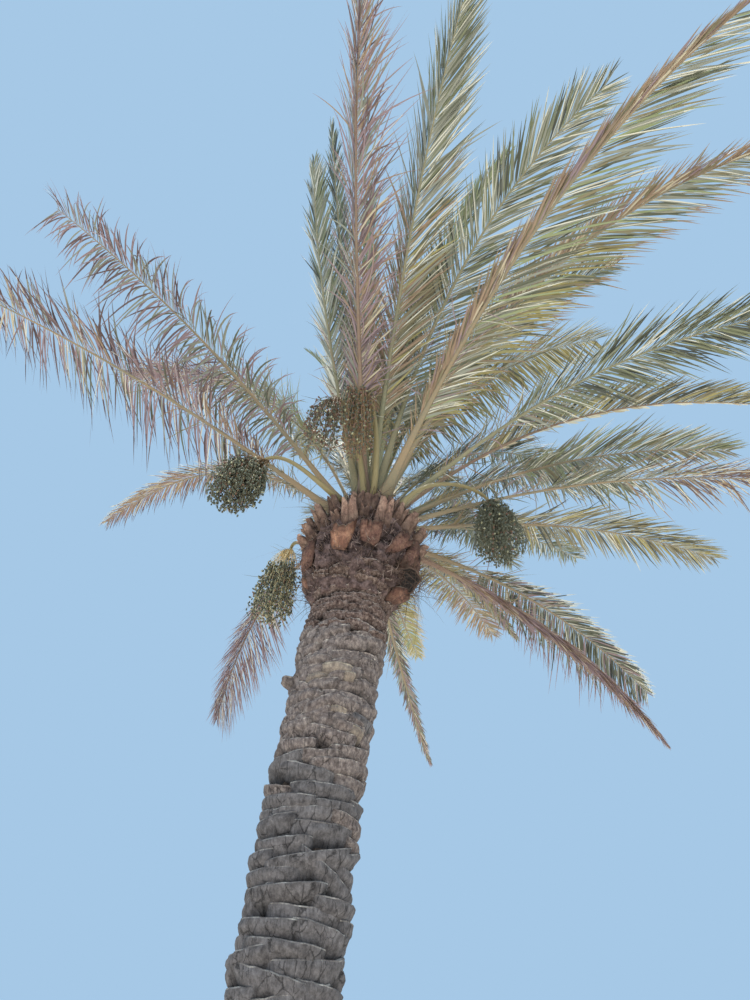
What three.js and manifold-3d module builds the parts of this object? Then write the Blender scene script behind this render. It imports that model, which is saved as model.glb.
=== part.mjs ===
// Date palm: a leaning trunk, the ball of cut leaf bases at its top, and the fronds that leave it.
// Millimetres, +Z up. The origin is the middle of the flat cut at ground level, -Y is the side
// that is seen first, and azimuths run from +X towards +Y.

import * as THREE from 'three';
import { mergeVertices } from 'three/addons/utils/BufferGeometryUtils.js';
import Module from 'manifold-3d';

const wasm = await Module();
wasm.setup();

// Trunk: nearly even in width, with a flared foot, and bending to +X as it rises
const TRUNK_TOP = 4460;
const TRUNK_RADIUS_FOOT = 290;
const TRUNK_RADIUS_TOP = 274;
const FLARE = 120;
const FLARE_HEIGHT = 210;
const TRUNK_SIDES = 20;
const TRUNK_RINGS = 15;
const RING_CROWDING = 1.6;

// Sideways shift of the axis at the height of the head, from which the whole bend follows
const LEAN = 360;
const HEAD_HEIGHT = 4900;

// Head: radius and height of each ring of leaf bases, from the neck to the bud
const HEAD_SIDES = 20;
const HEAD_RINGS = [
  [285, TRUNK_TOP],
  [372, 4560],
  [430, 4720],
  [444, 4880],
  [412, 5020],
  [360, 5120],
  [245, 5220],
];
const HEAD_TOP = 5290;

// Fronds leave a small dome inside the head
const DOME_HEIGHT = 5000;
const DOME_RADIUS = 250;
const DOME_RISE = 220;

// Frond blade: half widths of the stalk, and the share of the full spread along the rib
const STALK_HALF_WIDTH = 46;
const STALK_END_HALF_WIDTH = 24;
const STALK_SHARE = 0.2;
const SPREAD_OUTLINE = [
  [STALK_SHARE, 0],
  [0.34, 0.9],
  [0.55, 1],
  [0.8, 0.78],
  [0.93, 0.48],
  [1, 0.12],
];
const RIB_HALF_DEPTH = 24;
const RIB_TIP_HALF_DEPTH = 5;
const TIP_LEAFLET = 110;
const DROOP_POWER = 1.5;
const SWAY_POWER = 2;
const RIB_STEPS = 16;
const BLADE_SEGMENTS = 11;

// The fold of the leaflets is full once they reach a third of their spread
const FOLD_ONSET = 3;

// Fronds that bend more than this are made as two pieces that meet at the bend
const SPLIT_DROOP = 60;
const SPLIT_AT = 0.5;

// Clearance between neighbouring pieces
const GAP = 0.5;

// Detail under this size is smoothed away after the cuts
const SIMPLIFY = 0.2;

// The core round a rib, which keeps its way through another frond's leaflets
const CORE_HALF_WIDTH = 34;
const CORE_HALF_DEPTH = 30;

// Half the width over the leaflets, and how far the leaflets are folded up, by age
const AGE = {
  young: { spread: 130, fold: 40 },
  green: { spread: 250, fold: 22 },
  old: { spread: 260, fold: 8 },
  dry: { spread: 220, fold: -20 },
};

// Fronds: azimuth, rise at the base, droop and sway to the tip in degrees, length of the rib
const FRONDS = [
  { name: 'upper_left', azimuth: 208, rise: 44, droop: 22, sway: 2, length: 3350, age: 'old' },
  { name: 'left', azimuth: 199, rise: 29, droop: 20, sway: 2, length: 3500, age: 'dry' },
  { name: 'low_left', azimuth: 149, rise: 50, droop: 70, sway: -4, length: 3400, age: 'old' },
  { name: 'hang_left', azimuth: 119, rise: 26, droop: 68, sway: -7, length: 3400, age: 'dry' },
  { name: 'back_left', azimuth: 166, rise: 69, droop: 70, sway: 6, length: 3300, age: 'old' },
  { name: 'rise_left', azimuth: 244, rise: 62, droop: 0, sway: 22, length: 3150, age: 'green' },
  { name: 'rise_left_in', azimuth: 253, rise: 66, droop: 8, sway: 6, length: 3300, age: 'green' },
  { name: 'near_brown', azimuth: 265, rise: 53, droop: 40, sway: 10, length: 3500, age: 'dry' },
  { name: 'near_green', azimuth: 280, rise: 58, droop: 50, sway: 2, length: 3450, age: 'green' },
  { name: 'rise_right', azimuth: 299, rise: 63, droop: 74, sway: 9, length: 3450, age: 'green' },
  { name: 'near_right', azimuth: 298, rise: 34, droop: 54, sway: 5, length: 3550, age: 'old' },
  { name: 'far_right', azimuth: 316, rise: 54, droop: 80, sway: 7, length: 3700, age: 'old' },
  { name: 'right_a', azimuth: 341, rise: 40, droop: 49, sway: -1, length: 3500, age: 'green' },
  { name: 'right_b', azimuth: 0, rise: 46, droop: 60, sway: -6, length: 3500, age: 'dry' },
  { name: 'right_c', azimuth: 9, rise: 37, droop: 36, sway: -6, length: 3300, age: 'old' },
  { name: 'right_d', azimuth: 10, rise: 29, droop: 34, sway: -12, length: 3500, age: 'old' },
  { name: 'right_e', azimuth: 22, rise: 25, droop: 31, sway: -5, length: 3350, age: 'old' },
  { name: 'right_f', azimuth: 6, rise: 69, droop: 47, sway: 1, length: 3400, age: 'green' },
  { name: 'back_right_a', azimuth: 45, rise: 35, droop: 23, sway: 0, length: 3350, age: 'green' },
  { name: 'back_right_b', azimuth: 65, rise: 27, droop: 25, sway: 0, length: 3300, age: 'old' },
  { name: 'low_right_a', azimuth: 38, rise: 4, droop: 32, sway: 4, length: 3400, age: 'dry' },
  { name: 'low_right_b', azimuth: 40, rise: 14, droop: 40, sway: -3, length: 3350, age: 'old' },
  { name: 'low_back_a', azimuth: 82, rise: 23, droop: 20, sway: -7, length: 3350, age: 'old' },
  { name: 'low_back_b', azimuth: 81, rise: 5, droop: 23, sway: -9, length: 3400, age: 'old' },
  { name: 'low_back_c', azimuth: 98, rise: 14, droop: 35, sway: 0, length: 3300, age: 'old' },
  { name: 'low_back_d', azimuth: 54, rise: 22, droop: 36, sway: 0, length: 3300, age: 'old' },
  { name: 'low_back_e', azimuth: 97, rise: 32, droop: 30, sway: 0, length: 3400, age: 'green' },
  { name: 'mid_back_a', azimuth: 84, rise: 42, droop: 40, sway: 0, length: 3400, age: 'green' },
  { name: 'mid_back_b', azimuth: 58, rise: 45, droop: 42, sway: 0, length: 3400, age: 'green' },
  { name: 'mid_back_c', azimuth: 103, rise: 49, droop: 38, sway: 0, length: 3300, age: 'green' },
  { name: 'mid_back_d', azimuth: 28, rise: 46, droop: 38, sway: 0, length: 3400, age: 'green' },
  { name: 'high_back_a', azimuth: 93, rise: 64, droop: 46, sway: 0, length: 3300, age: 'green' },
  { name: 'high_back_b', azimuth: 66, rise: 60, droop: 50, sway: 0, length: 3400, age: 'green' },
  { name: 'high_back_c', azimuth: 116, rise: 70, droop: 48, sway: -5, length: 3200, age: 'green' },
  { name: 'high_back_d', azimuth: 38, rise: 60, droop: 52, sway: 0, length: 3400, age: 'green' },
  { name: 'crown_a', azimuth: 300, rise: 76, droop: 55, sway: 8, length: 3200, age: 'young' },
  { name: 'crown_b', azimuth: 340, rise: 70, droop: 55, sway: 5, length: 3300, age: 'green' },
  { name: 'crown_c', azimuth: 20, rise: 78, droop: 42, sway: 0, length: 3100, age: 'young' },
  { name: 'crown_d', azimuth: 90, rise: 79, droop: 45, sway: 10, length: 3050, age: 'young' },
  { name: 'crown_e', azimuth: 262, rise: 79, droop: 22, sway: 10, length: 3000, age: 'young' },
  { name: 'crown_f', azimuth: 322, rise: 82, droop: 26, sway: 0, length: 2850, age: 'young' },
  { name: 'crown_g', azimuth: 140, rise: 82, droop: 26, sway: 0, length: 2800, age: 'young' },
  { name: 'spear', azimuth: 220, rise: 88, droop: 3, sway: 0, length: 2300, age: 'young' },
];

const finish = (color, roughness) => new THREE.MeshStandardMaterial({ color, roughness, metalness: 0 });
const BARK = finish(0x6f6156, 0.95);
const LEAF_BASES = finish(0x8a5d42, 0.95);
const LEAF_COLOURS = {
  young: finish(0x7f9270, 0.7),
  green: finish(0x74855f, 0.7),
  old: finish(0x8f8a5c, 0.8),
  dry: finish(0x97806a, 0.9),
};

const lean = (z) => LEAN * (z / HEAD_HEIGHT) ** 2;
const mix = THREE.MathUtils.lerp;
const radians = THREE.MathUtils.degToRad;

// A closed three.js geometry as a solid that can be cut
function solidOf(geometry) {
  geometry.deleteAttribute('normal');
  geometry.deleteAttribute('uv');
  const merged = mergeVertices(geometry);
  return new wasm.Manifold(new wasm.Mesh({
    numProp: 3,
    vertProperties: new Float32Array(merged.attributes.position.array),
    triVerts: new Uint32Array(merged.index.array),
  }));
}

function geometryOf(solid) {
  const { vertProperties, triVerts } = solid.getMesh();
  const geometry = new THREE.BufferGeometry();
  geometry.setAttribute('position', new THREE.BufferAttribute(vertProperties, 3));
  geometry.setIndex(new THREE.BufferAttribute(triVerts, 1));
  geometry.computeVertexNormals();
  return geometry;
}

// A turned solid whose axis follows the lean of the trunk
function leaningLathe(profile, sides) {
  const points = profile.map(([radius, z]) => new THREE.Vector2(radius, z));
  const geometry = new THREE.LatheGeometry(points, sides);
  geometry.rotateX(Math.PI / 2);
  const position = geometry.attributes.position;
  for (let i = 0; i < position.count; i += 1) {
    position.setX(i, position.getX(i) + lean(position.getZ(i)));
  }
  return solidOf(geometry);
}

// Ring heights crowd towards the foot, where the flare curves most
function trunkSolid() {
  const profile = [[0, 0]];
  for (let ring = 0; ring <= TRUNK_RINGS; ring += 1) {
    const share = (ring / TRUNK_RINGS) ** RING_CROWDING;
    const z = share * TRUNK_TOP;
    const radius = mix(TRUNK_RADIUS_FOOT, TRUNK_RADIUS_TOP, share) + FLARE * Math.exp(-z / FLARE_HEIGHT);
    profile.push([radius, z]);
  }
  profile.push([0, TRUNK_TOP]);
  return leaningLathe(profile, TRUNK_SIDES);
}

function headSolid(grow = 0) {
  const rings = HEAD_RINGS.map(([radius, z]) => [radius + grow, z]);
  const bottom = TRUNK_TOP + GAP - grow;
  rings[0][1] = bottom;
  return leaningLathe([[0, bottom], ...rings, [0, HEAD_TOP + grow]], HEAD_SIDES);
}

// Direction of the rib and the two directions across it, at a share t of its length
function ribFrame(frond, t) {
  const rise = radians(frond.rise - frond.droop * t ** DROOP_POWER);
  const azimuth = radians(frond.azimuth + frond.sway * t ** SWAY_POWER);
  const along = new THREE.Vector3(
    Math.cos(rise) * Math.cos(azimuth),
    Math.cos(rise) * Math.sin(azimuth),
    Math.sin(rise),
  );
  const side = new THREE.Vector3(-Math.sin(azimuth), Math.cos(azimuth), 0);
  return { along, side, up: along.clone().cross(side) };
}

function ribPoint(frond, t) {
  const rise = radians(frond.rise);
  const azimuth = radians(frond.azimuth);
  const point = new THREE.Vector3(
    lean(HEAD_HEIGHT) + DOME_RADIUS * Math.cos(rise) * Math.cos(azimuth),
    DOME_RADIUS * Math.cos(rise) * Math.sin(azimuth),
    DOME_HEIGHT + DOME_RISE * Math.sin(rise),
  );
  const step = t / RIB_STEPS;
  for (let i = 0; i < RIB_STEPS; i += 1) {
    point.addScaledVector(ribFrame(frond, (i + 0.5) * step).along, step * frond.length);
  }
  return point;
}

// Share of the full spread that the leaflets reach at t
function spreadShare(t) {
  for (let i = 1; i < SPREAD_OUTLINE.length; i += 1) {
    const [start, from] = SPREAD_OUTLINE[i - 1];
    const [end, to] = SPREAD_OUTLINE[i];
    if (t < end) return t < start ? 0 : mix(from, to, (t - start) / (end - start));
  }
  return SPREAD_OUTLINE.at(-1)[1];
}

// Half width, half depth and fold of the whole blade, and of the core round its rib
const bladeSection = (frond, t) => ({
  width: mix(STALK_HALF_WIDTH, STALK_END_HALF_WIDTH, Math.min(t / STALK_SHARE, 1))
    + AGE[frond.age].spread * spreadShare(t),
  depth: mix(RIB_HALF_DEPTH, RIB_TIP_HALF_DEPTH, Math.min(t, 1)),
  fold: radians(AGE[frond.age].fold) * Math.min(1, spreadShare(t) * FOLD_ONSET),
});
const coreSection = () => ({ width: CORE_HALF_WIDTH, depth: CORE_HALF_DEPTH, fold: 0 });

// A four-sided rod, bent along the rib: its side corners are the blade's edges, folded up, and
// its other corners are the rib's upper and lower keel. grow widens it by that much all round.
function rodSolid({ frond, range: [start, end] }, section, grow = 0) {
  const geometry = new THREE.CylinderGeometry(1, 1, 1, 4, Math.ceil(BLADE_SEGMENTS * (end - start)));
  const position = geometry.attributes.position;
  const reach = grow / frond.length;
  for (let i = 0; i < position.count; i += 1) {
    const t = Math.max(0, mix(start - reach, end + reach, 0.5 - position.getY(i)));
    const across = Math.round(position.getX(i));
    const upward = Math.round(position.getZ(i));
    const { width, depth, fold } = section(frond, t);
    const halfWidth = width * (1 + grow / depth);
    const { side, up } = ribFrame(frond, t);
    const point = ribPoint(frond, t)
      .addScaledVector(side, across * halfWidth * Math.cos(fold))
      .addScaledVector(up, Math.abs(across) * halfWidth * Math.sin(fold) + upward * (depth + grow));
    position.setXYZ(i, point.x, point.y, point.z);
  }
  return solidOf(geometry);
}

// The frond's one piece, or its two pieces where it bends far
function piecesOf(frond) {
  const end = 1 + TIP_LEAFLET / frond.length;
  const name = `frond_${frond.name}`;
  if (frond.droop < SPLIT_DROOP) return [{ name, frond, range: [0, end] }];
  const half = GAP / 2 / frond.length;
  return [
    { name: `${name}_stalk`, frond, range: [0, SPLIT_AT - half] },
    { name: `${name}_tip`, frond, range: [SPLIT_AT + half, end] },
  ];
}

function boxesMeet(a, b) {
  return [0, 1, 2].every((axis) => a.min[axis] < b.max[axis] && b.min[axis] < a.max[axis]);
}

// What one frond takes out of another where they cross: the earlier keeps its leaflets, both
// keep their ribs, and where two ribs cross the earlier keeps its own
function crossingCut(piece, other, otherIsEarlier) {
  if (!otherIsEarlier) return other.grownCore.subtract(piece.core);
  return other.grown.subtract(piece.core).add(other.grownCore);
}

function cutPieces(pieces, head) {
  for (const piece of pieces) {
    piece.whole = rodSolid(piece, bladeSection);
    piece.grown = rodSolid(piece, bladeSection, GAP);
    piece.core = rodSolid(piece, coreSection);
    piece.grownCore = rodSolid(piece, coreSection, GAP);
    piece.box = piece.grown.boundingBox();
  }
  pieces.forEach((piece, order) => {
    let solid = piece.whole.subtract(head);
    pieces.forEach((other, otherOrder) => {
      if (other.frond === piece.frond || !boxesMeet(piece.box, other.box)) return;
      solid = solid.subtract(crossingCut(piece, other, otherOrder < order));
    });
    const bodies = solid.decompose().sort((a, b) => b.volume() - a.volume());
    piece.solid = bodies[0].simplify(SIMPLIFY);
  });
}

const palm = new THREE.Group();

function addPiece(name, solid, material) {
  const mesh = new THREE.Mesh(geometryOf(solid), material);
  mesh.name = name;
  palm.add(mesh);
}

addPiece('trunk', trunkSolid(), BARK);
addPiece('leaf_base_head', headSolid(), LEAF_BASES);

const pieces = FRONDS.flatMap(piecesOf);
cutPieces(pieces, headSolid(GAP));
for (const piece of pieces) {
  addPiece(piece.name, piece.solid, LEAF_COLOURS[piece.frond.age]);
}

export default palm;
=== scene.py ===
"""A date palm rooted in the ground: trunk, head of cut leaf bases, feather fronds and bunches of dates.

Lengths are in metres and angles in degrees, where nothing else is said. +Z is up, the origin is the middle
of the foot at ground level, -Y is the side that is seen first, and azimuths run from +X towards +Y. Every
random draw comes from a seeded generator.
"""

import logging
import math
from collections.abc import Callable, Sequence
from dataclasses import dataclass, field, replace
from enum import Enum

import bmesh
import bpy
import numpy as np
from bpy.types import Material, Node, NodeSocket, NodeTree
from mathutils import Matrix, Vector


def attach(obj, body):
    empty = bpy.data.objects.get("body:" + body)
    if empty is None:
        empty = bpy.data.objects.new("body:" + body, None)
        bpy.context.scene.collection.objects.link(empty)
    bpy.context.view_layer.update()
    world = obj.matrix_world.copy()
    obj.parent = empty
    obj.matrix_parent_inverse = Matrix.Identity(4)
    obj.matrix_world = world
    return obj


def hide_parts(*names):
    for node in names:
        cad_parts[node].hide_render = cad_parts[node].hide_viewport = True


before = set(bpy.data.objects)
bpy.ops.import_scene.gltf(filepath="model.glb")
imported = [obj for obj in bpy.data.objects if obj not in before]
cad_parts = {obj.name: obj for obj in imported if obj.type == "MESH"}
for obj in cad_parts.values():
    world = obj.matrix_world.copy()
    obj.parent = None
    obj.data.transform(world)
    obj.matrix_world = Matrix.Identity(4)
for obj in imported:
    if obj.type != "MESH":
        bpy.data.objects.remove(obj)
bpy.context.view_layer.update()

LOG = logging.getLogger("date_palm")
BODY = "root"
DOWN = np.array([0.0, 0.0, -1.0])
GOLDEN_ANGLE = math.pi * (3 - math.sqrt(5))
Array = np.ndarray
Colour = tuple[float, float, float, float]
Rows = tuple[tuple[float, ...], ...]


def linear(hex_colour: str) -> Colour:
    """Turns an sRGB hex value into the linear colour that a shader takes.

    Args:
        hex_colour: A colour such as "#8D8660".

    Returns:
        Red, green, blue and an alpha of one.
    """
    parts = [int(hex_colour[i:i + 2], 16) / 255 for i in (1, 3, 5)]
    red, green, blue = (c / 12.92 if c <= 0.04045 else ((c + 0.055) / 1.055) ** 2.4 for c in parts)
    return red, green, blue, 1.0


def add_node(tree: NodeTree, kind: str, inputs: dict | None = None, **settings) -> Node:
    """Adds a shader node with its settings and links.

    Args:
        tree: The material's node tree.
        kind: The node's type name, without its ShaderNode prefix.
        inputs: Sockets by name or number, each given a value or the output that feeds it.
        **settings: The node's own properties.

    Returns:
        The new node.
    """
    made = tree.nodes.new(f"ShaderNode{kind}")
    for name, value in settings.items():
        setattr(made, name, value)
    for name, value in (inputs or {}).items():
        if isinstance(value, NodeSocket):
            tree.links.new(value, made.inputs[name])
        else:
            made.inputs[name].default_value = value
    return made


def lean(z: Array | float) -> Array | float:
    """Sideways shift of the trunk's axis, towards +X, at a height."""
    return Trunk.LEAN * (z / Trunk.LEAN_HEIGHT) ** 2


def unit(vectors: Array) -> Array:
    """Vectors along the last axis, made one metre long."""
    return vectors / np.maximum(np.linalg.norm(vectors, axis=-1, keepdims=True), 1e-9)


def bearing(degrees: Array | float) -> Array:
    """Level unit vectors that point to an azimuth."""
    angle = np.radians(degrees)
    return np.stack([np.cos(angle), np.sin(angle), np.zeros_like(angle)], axis=-1)


def arc(start: Array, turn: Array, end: Array, t: Array) -> Array:
    """Points at shares of smooth arcs that leave a start, bend towards a turn and reach an end."""
    return (1 - t) ** 2 * start + 2 * t * (1 - t) * turn + t ** 2 * end


@dataclass(frozen=True)
class Template:
    """A small shape that is drawn once, and of which many bent copies are joined into one mesh.

    Attributes:
        points: Its corners, one row each, in the shape's own coordinates.
        corners: The corner numbers of its faces, one face after another.
        sizes: The number of corners of each face.
    """

    points: Array
    corners: Array
    sizes: Array

    @classmethod
    def of(cls, bm: bmesh.types.BMesh) -> "Template":
        """Reads a template out of a finished bmesh, and frees the bmesh."""
        bm.verts.index_update()
        points = np.array([v.co[:] for v in bm.verts])
        # Sorted, because an operator may hand its faces out in another order each time
        faces = sorted([v.index for v in f.verts] for f in bm.faces)
        bm.free()
        return cls(points, np.concatenate(faces), np.array([len(face) for face in faces]))

    @classmethod
    def strip(cls, across: int, along: int, start: float = 0.0, end: float = 1.0,
              pointed: bool = True) -> "Template":
        """A flat strip of faces.

        Args:
            across: Faces side by side, over x from -1 to 1.
            along: Faces one after another, over y.
            start: Lowest y.
            end: Highest y.
            pointed: Whether the far end is drawn together to a point.

        Returns:
            The strip.
        """
        bm = bmesh.new()
        bmesh.ops.create_grid(bm, x_segments=across, y_segments=along, size=1)
        bmesh.ops.translate(bm, verts=bm.verts, vec=(0, 1, 0))
        bmesh.ops.scale(bm, verts=bm.verts, vec=(1, (end - start) / 2, 1))
        bmesh.ops.translate(bm, verts=bm.verts, vec=(0, start, 0))
        if pointed:
            tip = [v for v in bm.verts if v.co.y > end - 1e-6]
            bmesh.ops.pointmerge(bm, verts=tip, merge_co=(0, end, 0))
        return cls.of(bm)

    @classmethod
    def rod(cls, sides: int, rings: int) -> "Template":
        """A closed rod of radius 1 from z = 0 to 1, divided along its length.

        Args:
            sides: Faces round it.
            rings: Faces along it.

        Returns:
            The rod.
        """
        bm = bmesh.new()
        bmesh.ops.create_cone(bm, cap_ends=True, segments=sides, radius1=1, radius2=1, depth=1)
        bmesh.ops.translate(bm, verts=bm.verts, vec=(0, 0, 0.5))
        upright = [e for e in bm.edges if abs(e.verts[0].co.z - e.verts[1].co.z) > 0.5]
        if rings > 1:
            bmesh.ops.subdivide_edges(bm, edges=upright, cuts=rings - 1, use_grid_fill=True)
        return cls.of(bm)

    @classmethod
    def slab(cls, across: int, along: int) -> "Template":
        """A slab over x from -1 to 1, y from 0 to 1 and z from 0 in front to 1 behind, open at its far end.

        Args:
            across: Faces side by side over x.
            along: Faces one after another over y.

        Returns:
            The slab.
        """
        bm = bmesh.new()
        bmesh.ops.create_cube(bm, size=2)
        bmesh.ops.translate(bm, verts=bm.verts, vec=(0, 1, 1))
        bmesh.ops.scale(bm, verts=bm.verts, vec=(1, 0.5, 0.5))
        for axis, cuts in ((0, across - 1), (1, along - 1)):
            edges = [e for e in bm.edges if abs((e.verts[0].co - e.verts[1].co)[axis]) > 0.5]
            bmesh.ops.subdivide_edges(bm, edges=edges, cuts=cuts, use_grid_fill=True)
        end = [f for f in bm.faces if all(v.co.y > 0.999 for v in f.verts)]
        bmesh.ops.delete(bm, geom=end, context="FACES_ONLY")
        bmesh.ops.reverse_faces(bm, faces=bm.faces)
        return cls.of(bm)

    @classmethod
    def ball(cls, around: int, rings: int) -> "Template":
        """A closed ball of radius 1."""
        bm = bmesh.new()
        bmesh.ops.create_uvsphere(bm, u_segments=around, v_segments=rings, radius=1)
        return cls.of(bm)

    @classmethod
    def rim(cls, across: int) -> "Template":
        """The edge of a cut: two rows of faces over x from -1 to 1 and z from 0 to 1, at y = 1."""
        bm = bmesh.new()
        bmesh.ops.create_grid(bm, x_segments=across, y_segments=2, size=1)
        bmesh.ops.translate(bm, verts=bm.verts, vec=(0, 1, 0))
        bmesh.ops.scale(bm, verts=bm.verts, vec=(1, 0.5, 1))
        bmesh.ops.rotate(bm, verts=bm.verts, cent=(0, 0, 0), matrix=Matrix.Rotation(math.pi / 2, 3, "X"))
        bmesh.ops.translate(bm, verts=bm.verts, vec=(0, 1, 0))
        return cls.of(bm)


class Heap:
    """Many small shapes, gathered into one joined mesh."""

    def __init__(self) -> None:
        """Starts with nothing in it."""
        self._points: list[Array] = []
        self._corners: list[Array] = []
        self._sizes: list[Array] = []
        self._painted_light: list[Array] = []
        self._count = 0

    def add(self, shape: Template, points: Array, painted_light: Array | float = 1.0) -> None:
        """Adds bent copies of a template.

        Args:
            shape: The template.
            points: The copies' corners, as copies, corners and coordinates.
            painted_light: Painted light of each corner, from 0 for painted shade deep in a gap to 1 on a lit
                edge.
        """
        copies, corners = points.shape[:2]
        starts = self._count + corners * np.arange(copies)
        self._painted_light.append(np.broadcast_to(painted_light, (copies, corners)).ravel())
        self._corners.append((shape.corners + starts[:, None]).ravel())
        self._sizes.append(np.tile(shape.sizes, copies))
        self._points.append(points.reshape(-1, 3))
        self._count += copies * corners

    def build(self, name: str, finish: "Finish", slot: str, nodes: Sequence[str] = ()) -> None:
        """Makes the joined mesh at the origin, and puts it on the plant.

        Args:
            name: The piece's name.
            finish: What it is made of.
            slot: The record's material slot that it belongs to; not used.
            nodes: The solids that it stands for.
        """
        points, corners, sizes = (np.concatenate(rows) for rows in (self._points, self._corners, self._sizes))
        mesh = bpy.data.meshes.new(name)
        mesh.vertices.add(len(points))
        mesh.vertices.foreach_set("co", points.astype(np.float32).ravel())
        mesh.loops.add(len(corners))
        mesh.loops.foreach_set("vertex_index", corners.astype(np.int32))
        mesh.polygons.add(len(sizes))
        mesh.polygons.foreach_set("loop_start", (np.cumsum(sizes) - sizes).astype(np.int32))
        mesh.polygons.foreach_set("use_smooth", np.ones(len(sizes), dtype=bool))
        mesh.update(calc_edges=True)
        # Only wood shows the painted light: painted shade in gaps, painted highlight on edges
        if isinstance(finish, WeatheredWood):
            painted_light = mesh.attributes.new(WeatheredWood.PAINTED_LIGHT, "FLOAT", "POINT")
            painted_light.data.foreach_set("value", np.concatenate(self._painted_light).astype(np.float32))
        mesh.validate()
        mesh.materials.append(finish.material())
        piece = bpy.data.objects.new(name, mesh)
        bpy.context.scene.collection.objects.link(piece)
        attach(piece, BODY)
        if nodes:
            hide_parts(*nodes)
        LOG.info("%s: %d triangles", name, (sizes - 2).sum())


@dataclass(frozen=True)
class Finish:
    """A plain finish: one colour and its gloss.

    Attributes:
        name: What the real surface is.
        colour: sRGB hex.
        roughness: 0 for a mirror, 1 for chalk.
        specular: Strength of the clear reflection.
    """

    name: str
    colour: str
    roughness: float
    specular: float = 0.5

    def material(self) -> Material:
        """The finish's material, made once."""
        known = bpy.data.materials.get(self.name)
        if known:
            return known
        made = bpy.data.materials.new(self.name)
        made.use_nodes = True
        made.node_tree.nodes.clear()
        shader = add_node(made.node_tree, "BsdfPrincipled", {
            "Base Color": linear(self.colour),
            "Roughness": self.roughness,
            "Specular IOR Level": self.specular,
        })
        add_node(made.node_tree, "OutputMaterial", {"Surface": shader.outputs["BSDF"]})
        self.pattern(made.node_tree, shader)
        return made

    def pattern(self, tree: NodeTree, shader: Node) -> None:
        """A plain finish has no pattern."""


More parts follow.
